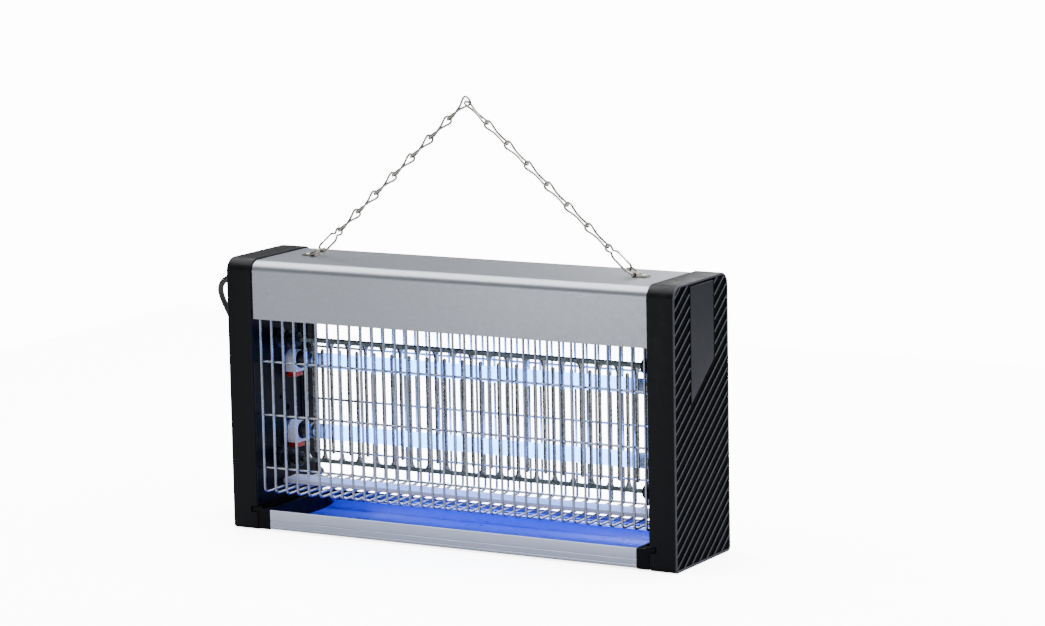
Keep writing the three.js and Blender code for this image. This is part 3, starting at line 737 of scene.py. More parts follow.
@dataclass
class Studio:
    """Camera, floor and soft light."""

    eye: tuple[float, float, float] = (1471.4, -2511.6, 647.4)
    yaw: float = 29.6
    pitch: float = 9.13
    roll: float = -1.09
    lens: float = 129.82
    floor_half: float = 900.0
    paper_glow: float = 5.0
    paper_white: float = 3.0
    backdrop: float = 14.0
    fill: float = 0.24
    panels: tuple[Panel, ...] = (
        Panel("overhead", (0.0, 0.2, 2.4), (0, 0, 0), (4.4, 3.4), 250),
        Panel("front_near", (-0.36, -1.05, 0.2), (0.15, 0, 0.18), (0.26, 0.4), 1.3),
        Panel("front_far", (-0.84, -1.0, 0.2), (-0.15, 0, 0.18), (0.24, 0.4), 0.5),
        Panel("right_side", (2.2, -0.4, 0.9), (0.2, 0, 0.1), (0.7, 1.6), 1.5),
        Panel("behind", (0.2, 2.6, 1.1), (0, 0, 0.1), (3.0, 1.2), 30),
    )

    def camera(self) -> None:
        """Sets the camera: look direction from yaw and pitch, then turned by the roll."""
        yaw, pitch, roll = (math.radians(a) for a in (self.yaw, self.pitch, self.roll))
        ahead = Vector((-math.sin(yaw) * math.cos(pitch), math.cos(yaw) * math.cos(pitch),
                        -math.sin(pitch)))
        level = Vector((math.cos(yaw), math.sin(yaw), 0))
        rise = level.cross(ahead)
        right = math.cos(roll) * level + math.sin(roll) * rise
        up = math.cos(roll) * rise - math.sin(roll) * level
        data = bpy.data.cameras.new("camera")
        data.lens = self.lens
        data.sensor_width = 36.0
        data.clip_start = 0.05
        camera = new_object("camera", data)
        turn = Matrix((right, up, -ahead)).transposed().to_4x4()
        camera.matrix_world = Matrix.Translation(Vector(self.eye) * MM) @ turn
        bpy.context.scene.camera = camera

    def floor(self) -> None:
        """A wide pale floor under the lamp."""
        half = self.floor_half
        floor = made("floor", box((-half, -half, -20), (half, half, -0.2)))
        material = bpy.data.materials.new("pale_floor")
        material.use_nodes = True
        tree = material.node_tree
        shader = tree.nodes["Principled BSDF"]
        shader.inputs["Roughness"].default_value = 0.9
        shader.inputs["Specular IOR Level"].default_value = 0.1
        shader.inputs["Emission Color"].default_value = (1, 1, 1, 1)
        ray = add_node(tree, "ShaderNodeLightPath")
        glow = add_node(tree, "ShaderNodeMath", {"operation": "MULTIPLY", 1: self.paper_glow},
                        {0: ray.outputs["Is Camera Ray"]})
        tree.links.new(glow.outputs[0], shader.inputs["Emission Strength"])
        paper = add_node(tree, "ShaderNodeMixRGB", {
            "Color1": linear("a4a4a8"), "Color2": (*[self.paper_white] * 3, 1.0),
        }, {"Fac": ray.outputs["Is Camera Ray"]})
        tree.links.new(paper.outputs["Color"], shader.inputs["Base Color"])
        floor.data.materials.append(material)

    def sky(self) -> None:
        """A white backdrop that gives only a dim even light of its own."""
        world = bpy.data.worlds.new("studio")
        bpy.context.scene.world = world
        world.use_nodes = True
        tree = world.node_tree
        tree.nodes.clear()
        backdrop = add_node(tree, "ShaderNodeBackground", {
            "Color": (1, 1, 1, 1), "Strength": self.backdrop,
        })
        fill = add_node(tree, "ShaderNodeBackground", {
            "Color": (0.93, 0.96, 1, 1), "Strength": self.fill,
        })
        ray = add_node(tree, "ShaderNodeLightPath")
        mix = add_node(tree, "ShaderNodeMixShader", {}, {"Fac": ray.outputs["Is Camera Ray"]})
        tree.links.new(fill.outputs["Background"], mix.inputs[1])
        tree.links.new(backdrop.outputs["Background"], mix.inputs[2])
        add_node(tree, "ShaderNodeOutputWorld", {}, {"Surface": mix.outputs["Shader"]})

    def build(self) -> None:
        """Sets up everything round the lamp."""
        self.camera()
        self.floor()
        self.sky()
        for panel in self.panels:
            panel.build()


# ---- mains lead ----


@dataclass
class MainsLead:
    """The lead from the left cap down to its coil, with its bush and plug."""

    diameter: float = 4.8
    route: tuple[tuple[float, float, float], ...] = (
        (-234.3, 31, 192.5), (-243, 31, 191.8), (-251.3, 31.9, 189), (-258.6, 34.7, 184.3),
        (-264, 39.7, 177.9), (-266.8, 46.3, 169.6), (-267, 53, 159.6), (-265.9, 58.9, 148.7),
        (-264.9, 64.2, 137), (-264.8, 69, 124.8), (-265.4, 73.4, 112.2), (-266.7, 77.3, 99.5),
        (-268.4, 80.7, 86.6), (-270.4, 83.6, 73.5), (-272.6, 85.9, 60.3), (-274.9, 87.9, 47.2),
        (-277.2, 90, 35), (-279.3, 93, 24.2), (-280.8, 96.4, 17), (-281.8, 100.4, 11.4),
    )
    start: tuple[float, float, float] = (-228.0, 31.0, 192.5)
    landing: tuple[tuple[float, float, float], ...] = (
        (-282.5, 104.4, 7.2), (-283, 108.3, 4.3),
    )
    coil_centre: tuple[float, float] = (-249.0, 112.0)
    outer_turn: float = 34.2
    inner_turn: float = 19.8
    lower_turns: float = 3.0
    change_turns: float = 0.3
    upper_turns: float = 2.0
    points_per_turn: int = 24
    tail_radius: float = 19.8
    tail_rise: float = 8.7
    pin_offset: float = 4.6
    pin_lift: float = 0.5
    bush_mouth: float = -198.3
    bush_length: float = 34.6
    groove_depth: float = 0.35
    groove_pitch: float = 3.4

    @property
    def turns(self) -> float:
        """How many turns the coil has in all."""
        return self.lower_turns + self.change_turns + self.upper_turns

    @property
    def end(self) -> float:
        """The angle at which the coil's last turn ends, in radians."""
        return math.pi - TURN * self.turns

    def coil(self) -> np.ndarray:
        """The wound part: two flat spirals, one over the other, joined at the inner turn.

        The angle runs backwards from the left; the lower spiral's radius falls by one
        diameter a turn, the upper one's grows by the same.
        """
        turns = np.linspace(0, self.turns, round(self.turns * self.points_per_turn) + 1)
        low = self.outer_turn - self.diameter * np.minimum(turns, self.lower_turns)
        climbed = np.maximum(turns - self.lower_turns - self.change_turns, 0)
        radius = low + self.diameter * climbed
        change = np.clip((turns - self.lower_turns) / self.change_turns, 0, 1)
        height = self.diameter * (0.5 + change * change * (3 - 2 * change))
        angle = math.pi - TURN * turns
        return np.column_stack([
            self.coil_centre[0] + radius * np.cos(angle),
            self.coil_centre[1] + radius * np.sin(angle), height,
        ])

    def tail(self) -> np.ndarray:
        """A quarter circle that leaves the last turn, climbs and ends in the plug."""
        out = np.array([math.cos(self.end), math.sin(self.end)])
        onward = np.array([out[1], -out[0]])
        last = self.inner_turn + self.diameter * self.upper_turns
        middle = np.array(self.coil_centre) + (last - self.tail_radius) * out
        share = np.linspace(0, 1, 9)[1:]
        bend = share * math.pi / 2
        swing = np.outer(np.cos(bend), out) + np.outer(np.sin(bend), onward)
        flat = middle + self.tail_radius * swing
        rise = 1.5 * self.diameter + self.tail_rise * share * share * (3 - 2 * share)
        return np.column_stack([flat, rise])

    def line(self) -> np.ndarray:
        """The whole middle line from inside the bush's mouth, as a smooth path."""
        points = np.vstack([self.start, self.route, self.landing, self.coil()[1:], self.tail()])
        return smooth_path(points, 5)

    def plug(self) -> list[bpy.types.Object]:
        """Flat two-pin plug: a lofted, rounded body that narrows towards the lead, and two pins.
        """
        heading = -np.array([math.cos(self.end), math.sin(self.end), 0])
        across = np.array([-heading[1], heading[0], 0])
        start = self.tail()[-1]
        along = np.array([0, 0.6, 3, 7, 12, 20, 28, 33, 34])
        half_width = np.array([3.0, 3.4, 3.7, 4.6, 5.6, 6.6, 6.8, 6.6, 5.8])
        half_height = np.array([1.9, 2.3, 2.9, 3.8, 4.8, 5.8, 6.2, 6.2, 5.5])
        lift = np.array([0, 0, 0, 0.1, 0.2, 0.4, 0.5, 0.5, 0.5])
        angle = np.linspace(0, TURN, 32, endpoint=False)
        round_off = 0.55
        u = np.sign(np.cos(angle)) * np.abs(np.cos(angle)) ** round_off
        v = np.sign(np.sin(angle)) * np.abs(np.sin(angle)) ** round_off
        rings = (start + along[:, None, None] * heading
                 + (half_width[:, None] * u)[..., None] * across
                 + (lift[:, None] + half_height[:, None] * v)[..., None] * [0, 0, 1])
        body = softened(made("plug_body", grid(rings), 50), 0.4)
        pin_along = np.array([[33.0], [52.0], [53.0]])
        pin_radius = np.array([2.0, 2.0, 1.2])
        pins = total([
            swept(start + heading * pin_along + across * way * self.pin_offset
                  + [0, 0, self.pin_lift], pin_radius, 20)
            for way in (-1, 1)
        ])
        return [
            dress(body, LEAD_PVC, ROOT, ("mains_plug",)),
            dress(made("plug_pins", pins), PIN_BRASS, ROOT),
        ]

    def bush(self) -> bpy.types.Object:
        """Tapered strain relief with a row of flexing grooves."""
        along = np.linspace(0, self.bush_length, 90)
        taper = np.interp(along, [0, 3.6, 4.4, 14, self.bush_length], [6.1, 6.1, 4.7, 4.4, 3.1])
        cut = np.cos(along * TURN / self.groove_pitch) > 0.3
        grooves = np.where((along > 8) & (along < 32), self.groove_depth * cut, 0)
        profile = np.column_stack([self.bush_mouth - along, taper - grooves])
        bush = made("lead_bush", turned(profile, self.start[1:], 32), 40)
        return dress(bush, LEAD_PVC, ROOT, ("strain_relief",))

    def build(self) -> None:
        bush = self.bush()
        plug = self.plug()
        line = self.line()
        data = bpy.data.curves.new("lead", "CURVE")
        data.dimensions = "3D"
        spline = data.splines.new("POLY")
        spline.points.add(len(line) - 1)
        spline.points.foreach_set("co", np.column_stack([line * MM, np.ones(len(line))]).ravel())
        spline.use_smooth = True
        data.bevel_depth = self.diameter / 2 * MM
        data.bevel_resolution = 5
        data.use_fill_caps = True
        lead = dress(new_object("lead", data), LEAD_PVC, ROOT,
                     ("mains_lead", "mains_coil"))


# ---- end caps ----


@dataclass
class EndCap:
    """One moulded end cap: shell, ribbed panel, inlay and inner plate."""

    side: Side
    half_depth: float = 46.0
    height: float = 219.0
    inner_x: float = 177.0
    outer_x: float = 200.0
    wall: float = 2.4
    recess: float = 2.1
    top_radius: float = 11.0
    foot_radius: float = 3.5
    corner_points: int = 14
    notch_heights: tuple[float, float] = (14.3, 19.2)
    notch_reach: float = 183.0
    notch_back: float = -41.9

    def outline(self, inset: float) -> np.ndarray:
        """The cap's outline in Y and Z, drawn in by an inset: four arcs joined by straights."""
        half = self.half_depth - inset
        top = max(self.top_radius - inset, 0.6)
        foot = max(self.foot_radius - inset, 0.6)
        low, high = inset, self.height - inset
        count = self.corner_points
        return np.vstack([
            arc((half - foot, low + foot), foot, -90, 0, count),
            arc((half - top, high - top), top, 0, 90, count),
            arc((-half + top, high - top), top, 90, 180, count),
            arc((-half + foot, low + foot), foot, 180, 270, count),
        ])

    def shell(self) -> bpy.types.Object:
        """The shell: its section, as (inset, x) pairs, carried round the outline."""
        floor_x = self.outer_x - self.recess
        section = np.vstack([
            [[self.wall + 1.2, floor_x - self.wall], [self.wall, floor_x - self.wall - 1.2]],
            arc((self.wall - 0.3, self.inner_x + 0.3), 0.3, 0, -90, 4),
            arc((0.5, self.inner_x + 0.5), 0.5, -90, -180, 5),
            arc((0.9, self.outer_x - 0.9), 0.9, 180, 90, 7),
            arc((self.wall - 0.8, self.outer_x - 0.35), 0.35, 90, 0, 4),
            [[self.wall - 0.45, floor_x + 0.2], [self.wall - 0.2, floor_x]],
        ])
        rings = np.stack([
            np.insert(self.outline(inset), 0, x, axis=1) for inset, x in section
        ])
        name = f"{self.side.word}_cap"
        piece = made(name, grid(rings).on(self.side))
        low, high = self.notch_heights
        notch = box((self.inner_x - 1, -self.half_depth - 1, low),
                    (self.notch_reach, self.notch_back, high))
        carved(piece, notch.on(self.side))
        return dress(piece, CAP_ABS_RIM_HIGHLIGHT, ROOT, (f"{self.side.word}_cap_shell",))

    def build(self) -> None:
        """Makes the cap's four pieces."""
        word = self.side.word
        self.shell()
        copies = (
            ("inner_plate", 0.35, MOULDED_ABS, "black_moulding"),
            ("rib_panel", 0.22, RIB_ABS_CREST_HIGHLIGHT, "rib_panel"),
            ("inlay", 0.35, SMOOTH_STRIP, "inlay"),
        )
        for part, width, finish, slot in copies:
            node = f"{word}_{part}"
            dress(rounded_copy(node, width), finish, ROOT, (node,))


# ---- roof ----


@dataclass
class Roof:
    """Folded aluminium roof and the brace under the guard."""

    half_length: float = 176.7
    half_depth: float = 44.6
    top: float = 217.6
    sheet: float = 1.0
    bend: float = 9.0
    skirt: float = 171.0

    def outline(self) -> np.ndarray:
        """The folded sheet's section: outside from front to rear, then back along the inside."""
        inner = self.bend - self.sheet
        centre = (self.half_depth - self.bend, self.top - self.bend)
        edge = self.half_depth - self.sheet
        outside = np.vstack([
            [[-self.half_depth, self.skirt]], arc((-centre[0], centre[1]), self.bend, 180, 90, 16),
            arc(centre, self.bend, 90, 0, 16), [[self.half_depth, self.skirt]],
        ])
        inside = np.vstack([
            [[edge, self.skirt]], arc(centre, inner, 0, 90, 16),
            arc((-centre[0], centre[1]), inner, 90, 180, 16), [[-edge, self.skirt]],
        ])
        return np.vstack([outside, inside])

    def build(self) -> None:
        """Makes the roof and the brace."""
        ends = (-self.half_length, self.half_length)
        roof = softened(made("roof", extruded(self.outline(), ends), 25), 0.3)
        dress(roof, ROLLED_ALUMINIUM, ROOT, ("top_housing",))
        brace = rounded_copy("bottom_brace", 0.3)
        dress(brace, WHITE_LACQUER, ROOT, ("bottom_brace",))


# ---- guard ----


@dataclass
class Guard:
    """Welded cage of wire: bent uprights and long wires along both sides."""

    wires: int = 34
    pitch: float = 10.45
    depth: float = 41.0
    top: float = 181.0
    bottom: float = 30.2
    bend: float = 4.0
    radius: float = 1.05
    long_radius: float = 0.95
    long_heights: tuple[float, ...] = (50.4, 93.4, 136.6)
    reach: float = 177.0
    sides: int = 10

    def upright(self) -> np.ndarray:
        """One wire's middle line in Y and Z: down, round two bends and up again."""
        low = self.bottom + self.bend
        inner = self.depth - self.bend
        flat = np.vstack([
            [[-self.depth, self.top], [-self.depth, 100.0]],
            arc((-inner, low), self.bend, 180, 270, 7), arc((inner, low), self.bend, 270, 360, 7),
            [[self.depth, 100.0], [self.depth, self.top]],
        ])
        return np.insert(flat, 0, 0.0, axis=1)

    def build(self) -> None:
        """Makes the cage as one piece."""
        wire = swept(self.upright(), self.radius, self.sides, up=(1, 0, 0))
        first = -(self.wires - 1) * self.pitch / 2
        cage = [wire.moved(first + i * self.pitch) for i in range(self.wires)]
        inside = self.depth - self.radius - self.long_radius + 0.35
        for height in self.long_heights:
            for y in (-inside, inside):
                line = np.array([[x, y, height] for x in (-self.reach, 0, self.reach)])
                cage.append(swept(line, self.long_radius, self.sides))
        guard = made("guard", total(cage), 40)
        dress(guard, PLATED_WIRE, ROOT, ("wire_guard",))


# ---- high-voltage grid ----


@dataclass
class Comb:
    """One comb of punched teeth on a folded rail."""

    level: Level
    grid_y: float = -11.0
    sheet: float = 1.2
    rail_height: float = 3.6
    rail_reach: float = 154.8
    rail_depth: float = 4.4
    tongue: float = 3.6
    tooth_count: int = 38
    tooth_pitch: float = 8.1
    tooth_half: float = 1.4
    tip_gap: float = 6.0
    flare: float = 2.4
    flare_length: float = 5.0
    rows: int = 26

    @property
    def rail(self) -> float:
        """Height of this comb's rail."""
        return RAIL_HEIGHTS[self.level]

    @property
    def way(self) -> int:
        """Which way the teeth point: down from the upper rail, up from the lower."""
        return -1 if self.level is Level.UPPER else 1

    def tooth(self) -> Surface:
        """One tooth: a shallow channel section carried along Z.

        Its half width flares to the root by a falling square and closes at the tip in a
        half circle.
        """
        other = RAIL_HEIGHTS[Level.LOWER if self.level is Level.UPPER else Level.UPPER]
        root = self.rail + self.way * self.rail_height / 2
        tip = other - self.way * self.tip_gap
        length = abs(tip - root)
        along = length * (1 - np.cos(np.linspace(0, math.pi, self.rows))) / 2
        flare = self.flare * np.clip(1 - along / self.flare_length, 0, 1) ** 2
        left = np.clip(length - along, 0, self.tooth_half)
        close = np.sqrt(np.clip(1 - (1 - left / self.tooth_half) ** 2, 0.02, 1))
        half = (self.tooth_half + flare) * close
        front, back = -self.sheet / 2, self.sheet / 2
        lip, web = 0.6, 0.3
        u = np.array([-1, -0.92, -lip, -lip + 0.06, lip - 0.06, lip, 0.92, 1, 1, -1])
        v = np.array([front + 0.1, front, front, web, web, front, front, front + 0.1, back, back])
        rings = np.stack([
            half[:, None] * u, np.broadcast_to(self.grid_y + v, (self.rows, len(v))),
            np.broadcast_to((root + self.way * (along - 0.3))[:, None], (self.rows, len(v))),
        ], axis=-1)
        return grid(rings)

    def rail_bar(self) -> Surface:
        """The rail: an L section carried along X, with tongues that enter the posts."""
        way, half = self.way, self.rail_height / 2
        front, back = self.grid_y - self.sheet / 2, self.grid_y + self.sheet / 2
        flange = front + self.rail_depth
        outline = np.array([
            [front, self.rail + way * half], [front, self.rail - way * (half - 0.3)],
            [front + 0.3, self.rail - way * half], [flange, self.rail - way * half],
            [flange, self.rail - way * (half - 1.0)], [back, self.rail - way * (half - 1.0)],
            [back, self.rail + way * half],
        ])
        tongue = self.rail_reach + self.tongue
        bar = extruded(outline, (-self.rail_reach, self.rail_reach))
        inner = box((-tongue, front + 0.1, self.rail - half + 0.1),
                    (tongue, back - 0.1, self.rail + half - 0.1))
        return bar + inner

    def build(self) -> None:
        """Makes the comb and its two insulator posts."""
        parity = 1 if self.level is Level.UPPER else 0
        tooth = self.tooth()
        middle = (self.tooth_count - 1) / 2
        teeth = [tooth.moved((i - middle) * self.tooth_pitch)
                 for i in range(parity, self.tooth_count, 2)]
        name = f"{self.level.value}_comb"
        comb = softened(made(f"{name}_teeth", total(teeth), 28), 0.12)
        dress(comb, GALVANISED, ROOT, (name,))
        rail = softened(made(f"{name}_rail", self.rail_bar(), 28), 0.2)
        dress(rail, DULL_GALVANISED, ROOT)
        for side in Side:
            node = f"{side.word}_{self.level.value}_post"
            dress(rounded_copy(node, 0.35, 40), PHENOLIC, ROOT, (node,))


# ---- tubes ----


@dataclass
class Tube:
    """One ultraviolet tube with its ferrules and the two lampholders that grip it."""

    level: Level
    y: float = 5.5
    radius: float = 6.2
    wall: float = 0.9
    half_glass: float = 150.6
    ferrule_end: float = 164.9
    pin_spacing: float = 4.75
    holder_inner: float = 165.2
    holder_outer: float = 177.0
    holder_radius: float = 7.6
    holder_drop: float = 10.0
    socket_radius: float = 5.2
    socket_floor: float = 5.0
    terminal_half: float = 5.4
    terminal_drop: float = 4.2

    @property
    def z(self) -> float:
        """Height of the tube's axis."""
        return TUBE_HEIGHTS[self.level]

    @property
    def body(self) -> str:
        """The body the tube turns with."""
        return f"{self.level.value}_tube"

    def glass(self) -> bpy.types.Object:
        """The glass: a wall with rounded rims, turned about the axis."""
        level, half = self.level.value, self.wall / 2
        bore, end = self.radius - self.wall, self.half_glass - half
        rim = arc((end, self.radius - half), half, -90, 90, 7)
        profile = np.vstack([
            np.column_stack([np.linspace(-end, end, 40), np.full(40, bore)]),
            rim, np.column_stack([np.linspace(end, -end, 40), np.full(40, self.radius)]),
            rim[::-1] * [-1, 1],
        ])
        piece = made(f"{level}_glass", turned(profile, (self.y, self.z), 40, loop=True), 45)
        return dress(piece, TUBE_GLASS, self.body, (f"{level}_tube_glass",))

    def ferrule(self, side: Side) -> None:
        """A tube's metal cap with a crimp ring and two pins."""
        start, end, outer = self.half_glass + 0.3, self.ferrule_end, self.radius + 0.1
        profile = np.vstack([
            [[start, 0.0], [start, outer - 0.3], [start + 0.3, outer]],
            [[start + 2.2, outer], [start + 2.6, outer - 0.35], [start + 3.4, outer - 0.35],
             [start + 3.8, outer]],
            arc((end - 1.2, outer - 1.2), 1.2, 90, 0, 6), [[end, 0.0]],
        ])
        shape = turned(profile, (self.y, self.z), 40)
        for way in (-1, 1):
            pin = np.array([[end - 1, 1.0], [end + 6.6, 1.0], [end + 7, 0.6], [end + 7, 0.0]])
            shape = shape + turned(pin, (self.y + way * self.pin_spacing / 2, self.z), 16)
        node = f"{side.word}_{self.level.value}_tube_cap"
        piece = made(f"{side.word}_{self.level.value}_ferrule", shape.on(side), 35)
        dress(piece, FERRULE, self.body, (node,))

    def arch(self, inset: float, blend: float, socket: float) -> np.ndarray:
        """The holder's outline in Y and Z at even angles, blended towards a round socket.

        The upper half is a circle and the lower half a straight-sided foot, found as the
        distance to its sides along each angle.
        """
        angle = np.linspace(0, TURN, 72, endpoint=False) + 0.001
        cosine, sine = np.cos(angle), np.sin(angle)
        wide, drop = self.holder_radius - inset, self.holder_drop - inset
        foot = np.minimum(wide / np.abs(cosine), drop / np.abs(sine))
        reach = (1 - blend) * np.where(sine > 0, wide, foot) + blend * socket
        return np.column_stack([self.y + reach * cosine, self.z + reach * sine])

    def holder(self, side: Side) -> None:
        """A lampholder: domed block with a round socket, a black gasket and a red terminal."""
        inner, outer = self.holder_inner, self.holder_outer
        steps = [
            (0.0, 0, outer), (0.0, 0, inner + 2.4), (0.25, 0, inner + 2.0), (0.25, 0, inner + 1.6),
            (0.0, 0, inner + 1.2), (0.15, 0, inner + 0.35), (0.6, 0, inner),
            (0.6, 1, inner), (0.6, 1, inner + 5),
        ]
        sockets = [self.socket_radius] * (len(steps) - 1) + [self.socket_floor]
        rings = np.stack([
            np.insert(self.arch(inset, blend, socket), 0, x, axis=1)
            for (inset, blend, x), socket in zip(steps, sockets)
        ])
        word = f"{side.word}_{self.level.value}"
        holder = made(f"{word}_holder", grid(rings).on(side), 35)
        dress(holder, THERMOSET_SHADE_AT_CAP, ROOT, (f"{word}_lampholder",))
        ring = np.array([
            [inner - 2.2, 6.6], [inner - 2.2, 7.2], [inner - 0.4, 7.4], [inner - 0.05, 7.2],
            [inner - 0.05, 6.6],
        ])
        gasket = made(f"{word}_gasket", turned(ring, (self.y, self.z), 40, loop=True).on(side), 35)
        dress(gasket, PHENOLIC, ROOT)
        foot = self.z - self.holder_drop
        terminal = box((inner + 1.5, self.y - self.terminal_half, foot - self.terminal_drop),
                       (outer - 2, self.y + self.terminal_half, foot + 0.1))
        clip = softened(made(f"{word}_terminal", terminal.on(side)), 0.7, 3)
        dress(clip, RED_TERMINAL, ROOT)

    def build(self) -> None:
        """Makes the tube and its holders."""
        self.glass()
        for side in Side:
            self.ferrule(side)
            self.holder(side)


# ---- tray ----


@dataclass
class Tray:
    """The sliding tray: folded pan and two moulded ends."""

    half_length: float = 165.5
    front: float = -45.4
    top: float = 17.0
    bottom: float = 1.4
    sheet: float = 1.4
    rear: float = 44.6
    floor_end: float = 38.0

    def front_outline(self) -> np.ndarray:
        """The front wall with its two grooves, down to its folded foot."""
        inner = self.front + self.sheet
        groove = arc((self.front, 0), 0.3, 90, -90, 7)
        grooves = [groove + [0, z] for z in (8.4, 4.0)]
        return np.vstack([
            arc((self.front + 0.7, self.top - 0.7), 0.7, 90, 180, 6), *grooves,
            arc((self.front + 0.8, self.bottom + 0.8), 0.8, 180, 270, 5),
            [[inner, self.bottom], [inner, self.top]],
        ])

    def floor_outline(self) -> np.ndarray:
        """The floor, flat from the front wall to the rear wall."""
        front, top = self.front + self.sheet, self.bottom + self.sheet
        return np.array([
            [front, self.bottom], [self.floor_end, self.bottom], [self.floor_end, top],
            [front, top],
        ])

    def bead_outline(self) -> np.ndarray:
        """The rear wall: up from the floor, over the rolled bead and out to the rear lip."""
        return np.vstack([
            [[self.floor_end, self.bottom], [39.4, self.bottom], [39.4, 8.6], [self.rear, 12.4],
             [self.rear, 17.6], [self.rear - 1.2, 17.6], [self.rear - 1.2, 13.4]],
            arc((39.8, 10.8), 2.2, 60, 205, 18), [[self.floor_end, 9.0]],
        ])

    def build(self) -> None:
        """Makes the pan in its three finishes, and its ends."""
        ends = (-self.half_length, self.half_length)
        front = softened(made("pan_front", extruded(self.front_outline(), ends), 28), 0.15)
        dress(front, TRAY_SHEET, "tray", ("tray_pan",))
        floor = made("pan_floor", extruded(self.floor_outline(), ends), 28)
        dress(floor, BLUE_LIT_TRAY_FLOOR, "tray")
        bead = made("pan_bead", extruded(self.bead_outline(), ends), 28)
        dress(bead, BLUE_LIT_POLISHED_BEAD, "tray")
        for side in Side:
            node = f"{side.word}_tray_end"
            dress(rounded_copy(node, 0.4), MOULDED_ABS, "tray", (node,))


# ---- chain ----


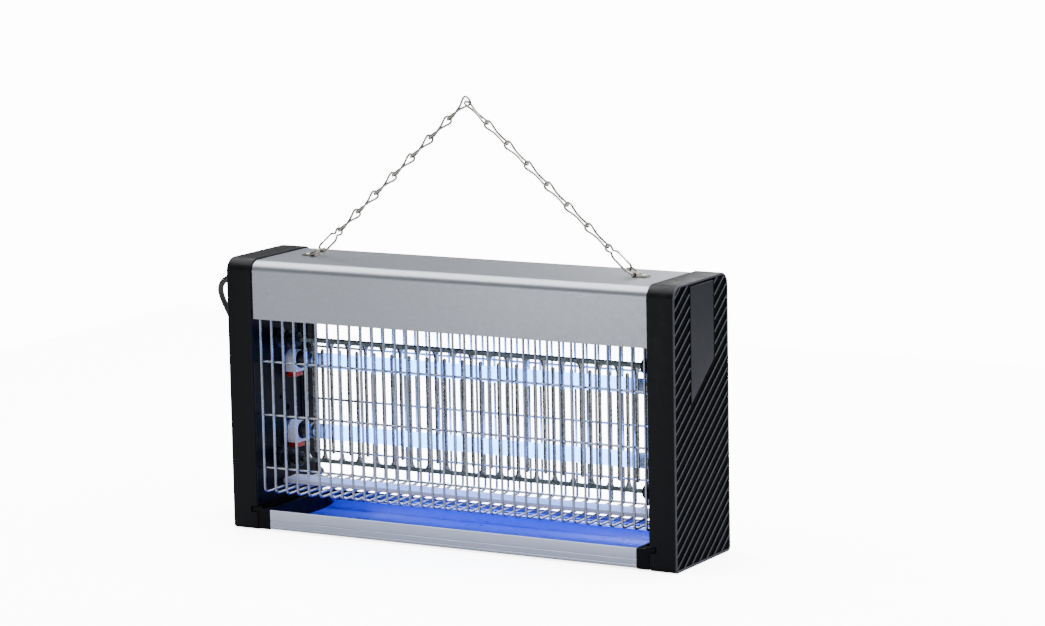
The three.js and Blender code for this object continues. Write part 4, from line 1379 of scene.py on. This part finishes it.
@dataclass
class ChainLimb:
    """One limb of the hanging chain: eye plate, ring, snap hook, gate and twisted links."""

    side: Side
    wire: float = 0.9
    gap: float = 0.15
    link_pitch: float = 23.07
    hook_pitch: float = 25.0
    ring_pitch: float = 7.5
    links: int = 7
    roof_top: float = 217.6
    gate_wire: float = 0.7
    bight: float = 3.3
    hook_eye: float = 2.7
    rivet_radius: float = 2.4
    rivet_offset: float = 6.4
    last_eye: float = 1.3
    sides: int = 12

    @property
    def seat(self) -> float:
        """How far a wire's middle lies past the point where two wires meet."""
        return self.wire + self.gap

    def pivot(self, name: str) -> np.ndarray:
        """A joint's place in millimetres, as if it were on the left."""
        place = np.array(joint(f"{self.side.word}_{name}")["pos_m"]) / MM
        return place * [-self.side.value, 1, 1]

    def directions(self) -> tuple[np.ndarray, np.ndarray]:
        """The limb's direction and the direction across it, in the plane of the chain."""
        along = unit(self.pivot("link_2_fold") - self.pivot("link_1_fold"))
        return along, np.array([-along[2], 0, along[0]])

    def placed(self, local: np.ndarray, base: np.ndarray) -> np.ndarray:
        """Points given along the limb, in Y and across it, put in place on the left limb."""
        along, across = self.directions()
        return base + local[:, :1] * along + local[:, 1:2] * [0, 1, 0] + local[:, 2:] * across

    def add(self, name: str, surface: Surface, body: str, node: str) -> None:
        """Makes one nickelled piece of the limb."""
        flipped = Surface(surface.points * [-self.side.value, 1, 1], surface.faces)
        piece = made(f"{self.side.word}_{name}", flipped, 40)
        dress(piece, NICKEL_WIRE, f"{self.side.word}_{body}" if body != ROOT else ROOT,
              (f"{self.side.word}_{node}",))

    def link_line(self, twisted: bool, eye: float) -> np.ndarray:
        """A link's middle line: a figure of eight whose upper eye is turned by the twist.

        With t round the loop, the place along is cos t, the width is sin t times
        (end + waist cos 2t), and the twist angle follows a sine of the place along.
        """
        t = np.linspace(0, TURN, 96, endpoint=False)
        place = np.cos(t)
        widen = 1 + (eye - 1) * np.maximum(place, 0)
        width = np.sin(t) * (4.14 + 3.04 * np.cos(2 * t)) * widen
        reach = np.clip(place / 0.6, -1, 1)
        angle = math.pi / 2 - twisted * math.pi / 4 * (1 + np.sin(reach * math.pi / 2))
        half = self.link_pitch / 2 + self.seat
        return np.column_stack([
            self.link_pitch / 2 + half * place, width * np.sin(angle), width * np.cos(angle),
        ])

    def hook_line(self) -> np.ndarray:
        """The snap hook's middle line: wide bight, long back, waist and small eye."""
        bight, eye = self.bight, self.hook_eye
        top = self.hook_pitch + self.seat - eye
        flat = np.vstack([
            [[5.6, bight]], arc((bight - self.seat, 0), bight, 90, 270, 14),
            [[9.5, -bight], [15.0, -bight], [17.4, -2.6], [19.2, -1.2]],
            arc((top, 0), eye, -110, 110, 16), [[19.2, 1.2], [17.4, 2.6], [15.9, bight],
                                                [14.9, bight]],
        ])
        return np.insert(flat, 1, 0.0, axis=1)

    def ring_line(self, bar: np.ndarray, contact: np.ndarray) -> np.ndarray:
        """The D-ring's middle line: an oblong whose sine and cosine are softened by a power."""
        lean = unit(contact - bar)
        t = np.linspace(0, TURN, 64, endpoint=False)
        half = (self.ring_pitch + self.seat) / 2
        along = half + half * np.sign(np.cos(t)) * np.abs(np.cos(t)) ** 0.55
        wide = 6 * np.sign(np.sin(t)) * np.abs(np.sin(t)) ** 0.55
        return bar + along[:, None] * lean + wide[:, None] * [0, 1, 0]

    def eye_plate(self, bar: np.ndarray) -> Surface:
        """The strap over the ring's bar: a flat strip with one round hump, and a rivet."""
        seat, sheet, clear = self.roof_top + 0.3, 0.9, self.wire + 0.4
        x, z = -bar[0], bar[2]
        outline = np.vstack([
            [[x - clear - 1.8, seat], [x - clear, seat]], arc((x, z), clear, 180, 0, 14),
            [[x + clear, seat], [x + 10, seat], [x + 10, seat + sheet],
             [x + clear + sheet + 0.2, seat + sheet]],
            arc((x, z), clear + sheet, 0, 180, 14),
            [[x - clear - sheet, seat + sheet], [x - clear - 1.8, seat + sheet]],
        ])
        strap = extruded(outline, (-3.6, 3.6), axis=1)
        dome = arc((0, 0), self.rivet_radius, 20, 90, 6)
        angle = np.linspace(0, TURN, 24, endpoint=False)
        rings = np.stack([
            x + self.rivet_offset + np.abs(dome[:, :1]) * np.cos(angle),
            np.abs(dome[:, :1]) * np.sin(angle),
            np.broadcast_to(seat + sheet - 0.2 + 0.6 * dome[:, 1:], (len(dome), 24)),
        ], axis=-1)
        whole = strap + grid(rings)
        return Surface(whole.points * [-1, 1, 1], whole.faces)

    def build(self) -> None:
        """Makes every piece of the limb."""
        bar, contact = self.pivot("ring_tilt"), self.pivot("chain_swing")
        self.add("eye", self.eye_plate(bar), ROOT, "eye_plate")
        ring = swept(self.ring_line(bar, contact), self.wire, self.sides, loop=True,
                     up=(-0.5, 0, 0.87))
        self.add("ring", ring, "ring", "d_ring")
        hook = swept(self.placed(self.hook_line(), contact), self.wire, self.sides, up=(0, 1, 0))
        self.add("hook", hook, "hook", "snap_hook")
        line = np.array([[place, 0, self.bight] for place in (14.6, 10, 5.9)])
        gate = swept(self.placed(line, contact), self.gate_wire, self.sides, up=(0, 1, 0))
        self.add("gate", gate, "gate", "hook_gate")
        across = self.directions()[1]
        steady = tuple(np.array([0, 1, 0]) + across)
        for number in range(1, self.links + 1):
            last = number == self.links
            twisted = not (last and self.side is Side.RIGHT)
            line = self.link_line(twisted, self.last_eye if last else 1.0)
            base = self.pivot(f"link_{number}_fold")
            name = f"link_{number}"
            wire = swept(self.placed(line, base), self.wire, self.sides, loop=True, up=steady)
            self.add(f"{name}_wire", wire, name, name)


# ---- electrics ----


@dataclass
class Electrics:
    """The boards and wound parts behind the inner plates."""

    parts: tuple[tuple[str, Finish, str], ...] = (
        ("left_circuit_board", LAMINATE, "circuit_board"),
        ("right_circuit_board", LAMINATE, "circuit_board"),
        ("left_transformer", WINDING, "winding"),
        ("right_choke", WINDING, "winding"),
    )

    def build(self) -> None:
        """Makes each part as a rounded copy of its node."""
        for node, finish, slot in self.parts:
            dress(rounded_copy(node, 0.3), finish, ROOT, (node,))


def main() -> None:
    """Builds the studio and then the lamp, piece by piece."""
    logging.basicConfig(level=logging.INFO)
    Studio().build()
    MainsLead().build()
    for side in Side:
        EndCap(side).build()
        ChainLimb(side).build()
    Roof().build()
    Guard().build()
    for level in Level:
        Comb(level).build()
        Tube(level).build()
    Tray().build()
    Electrics().build()


if __name__ == "__main__":
    main()
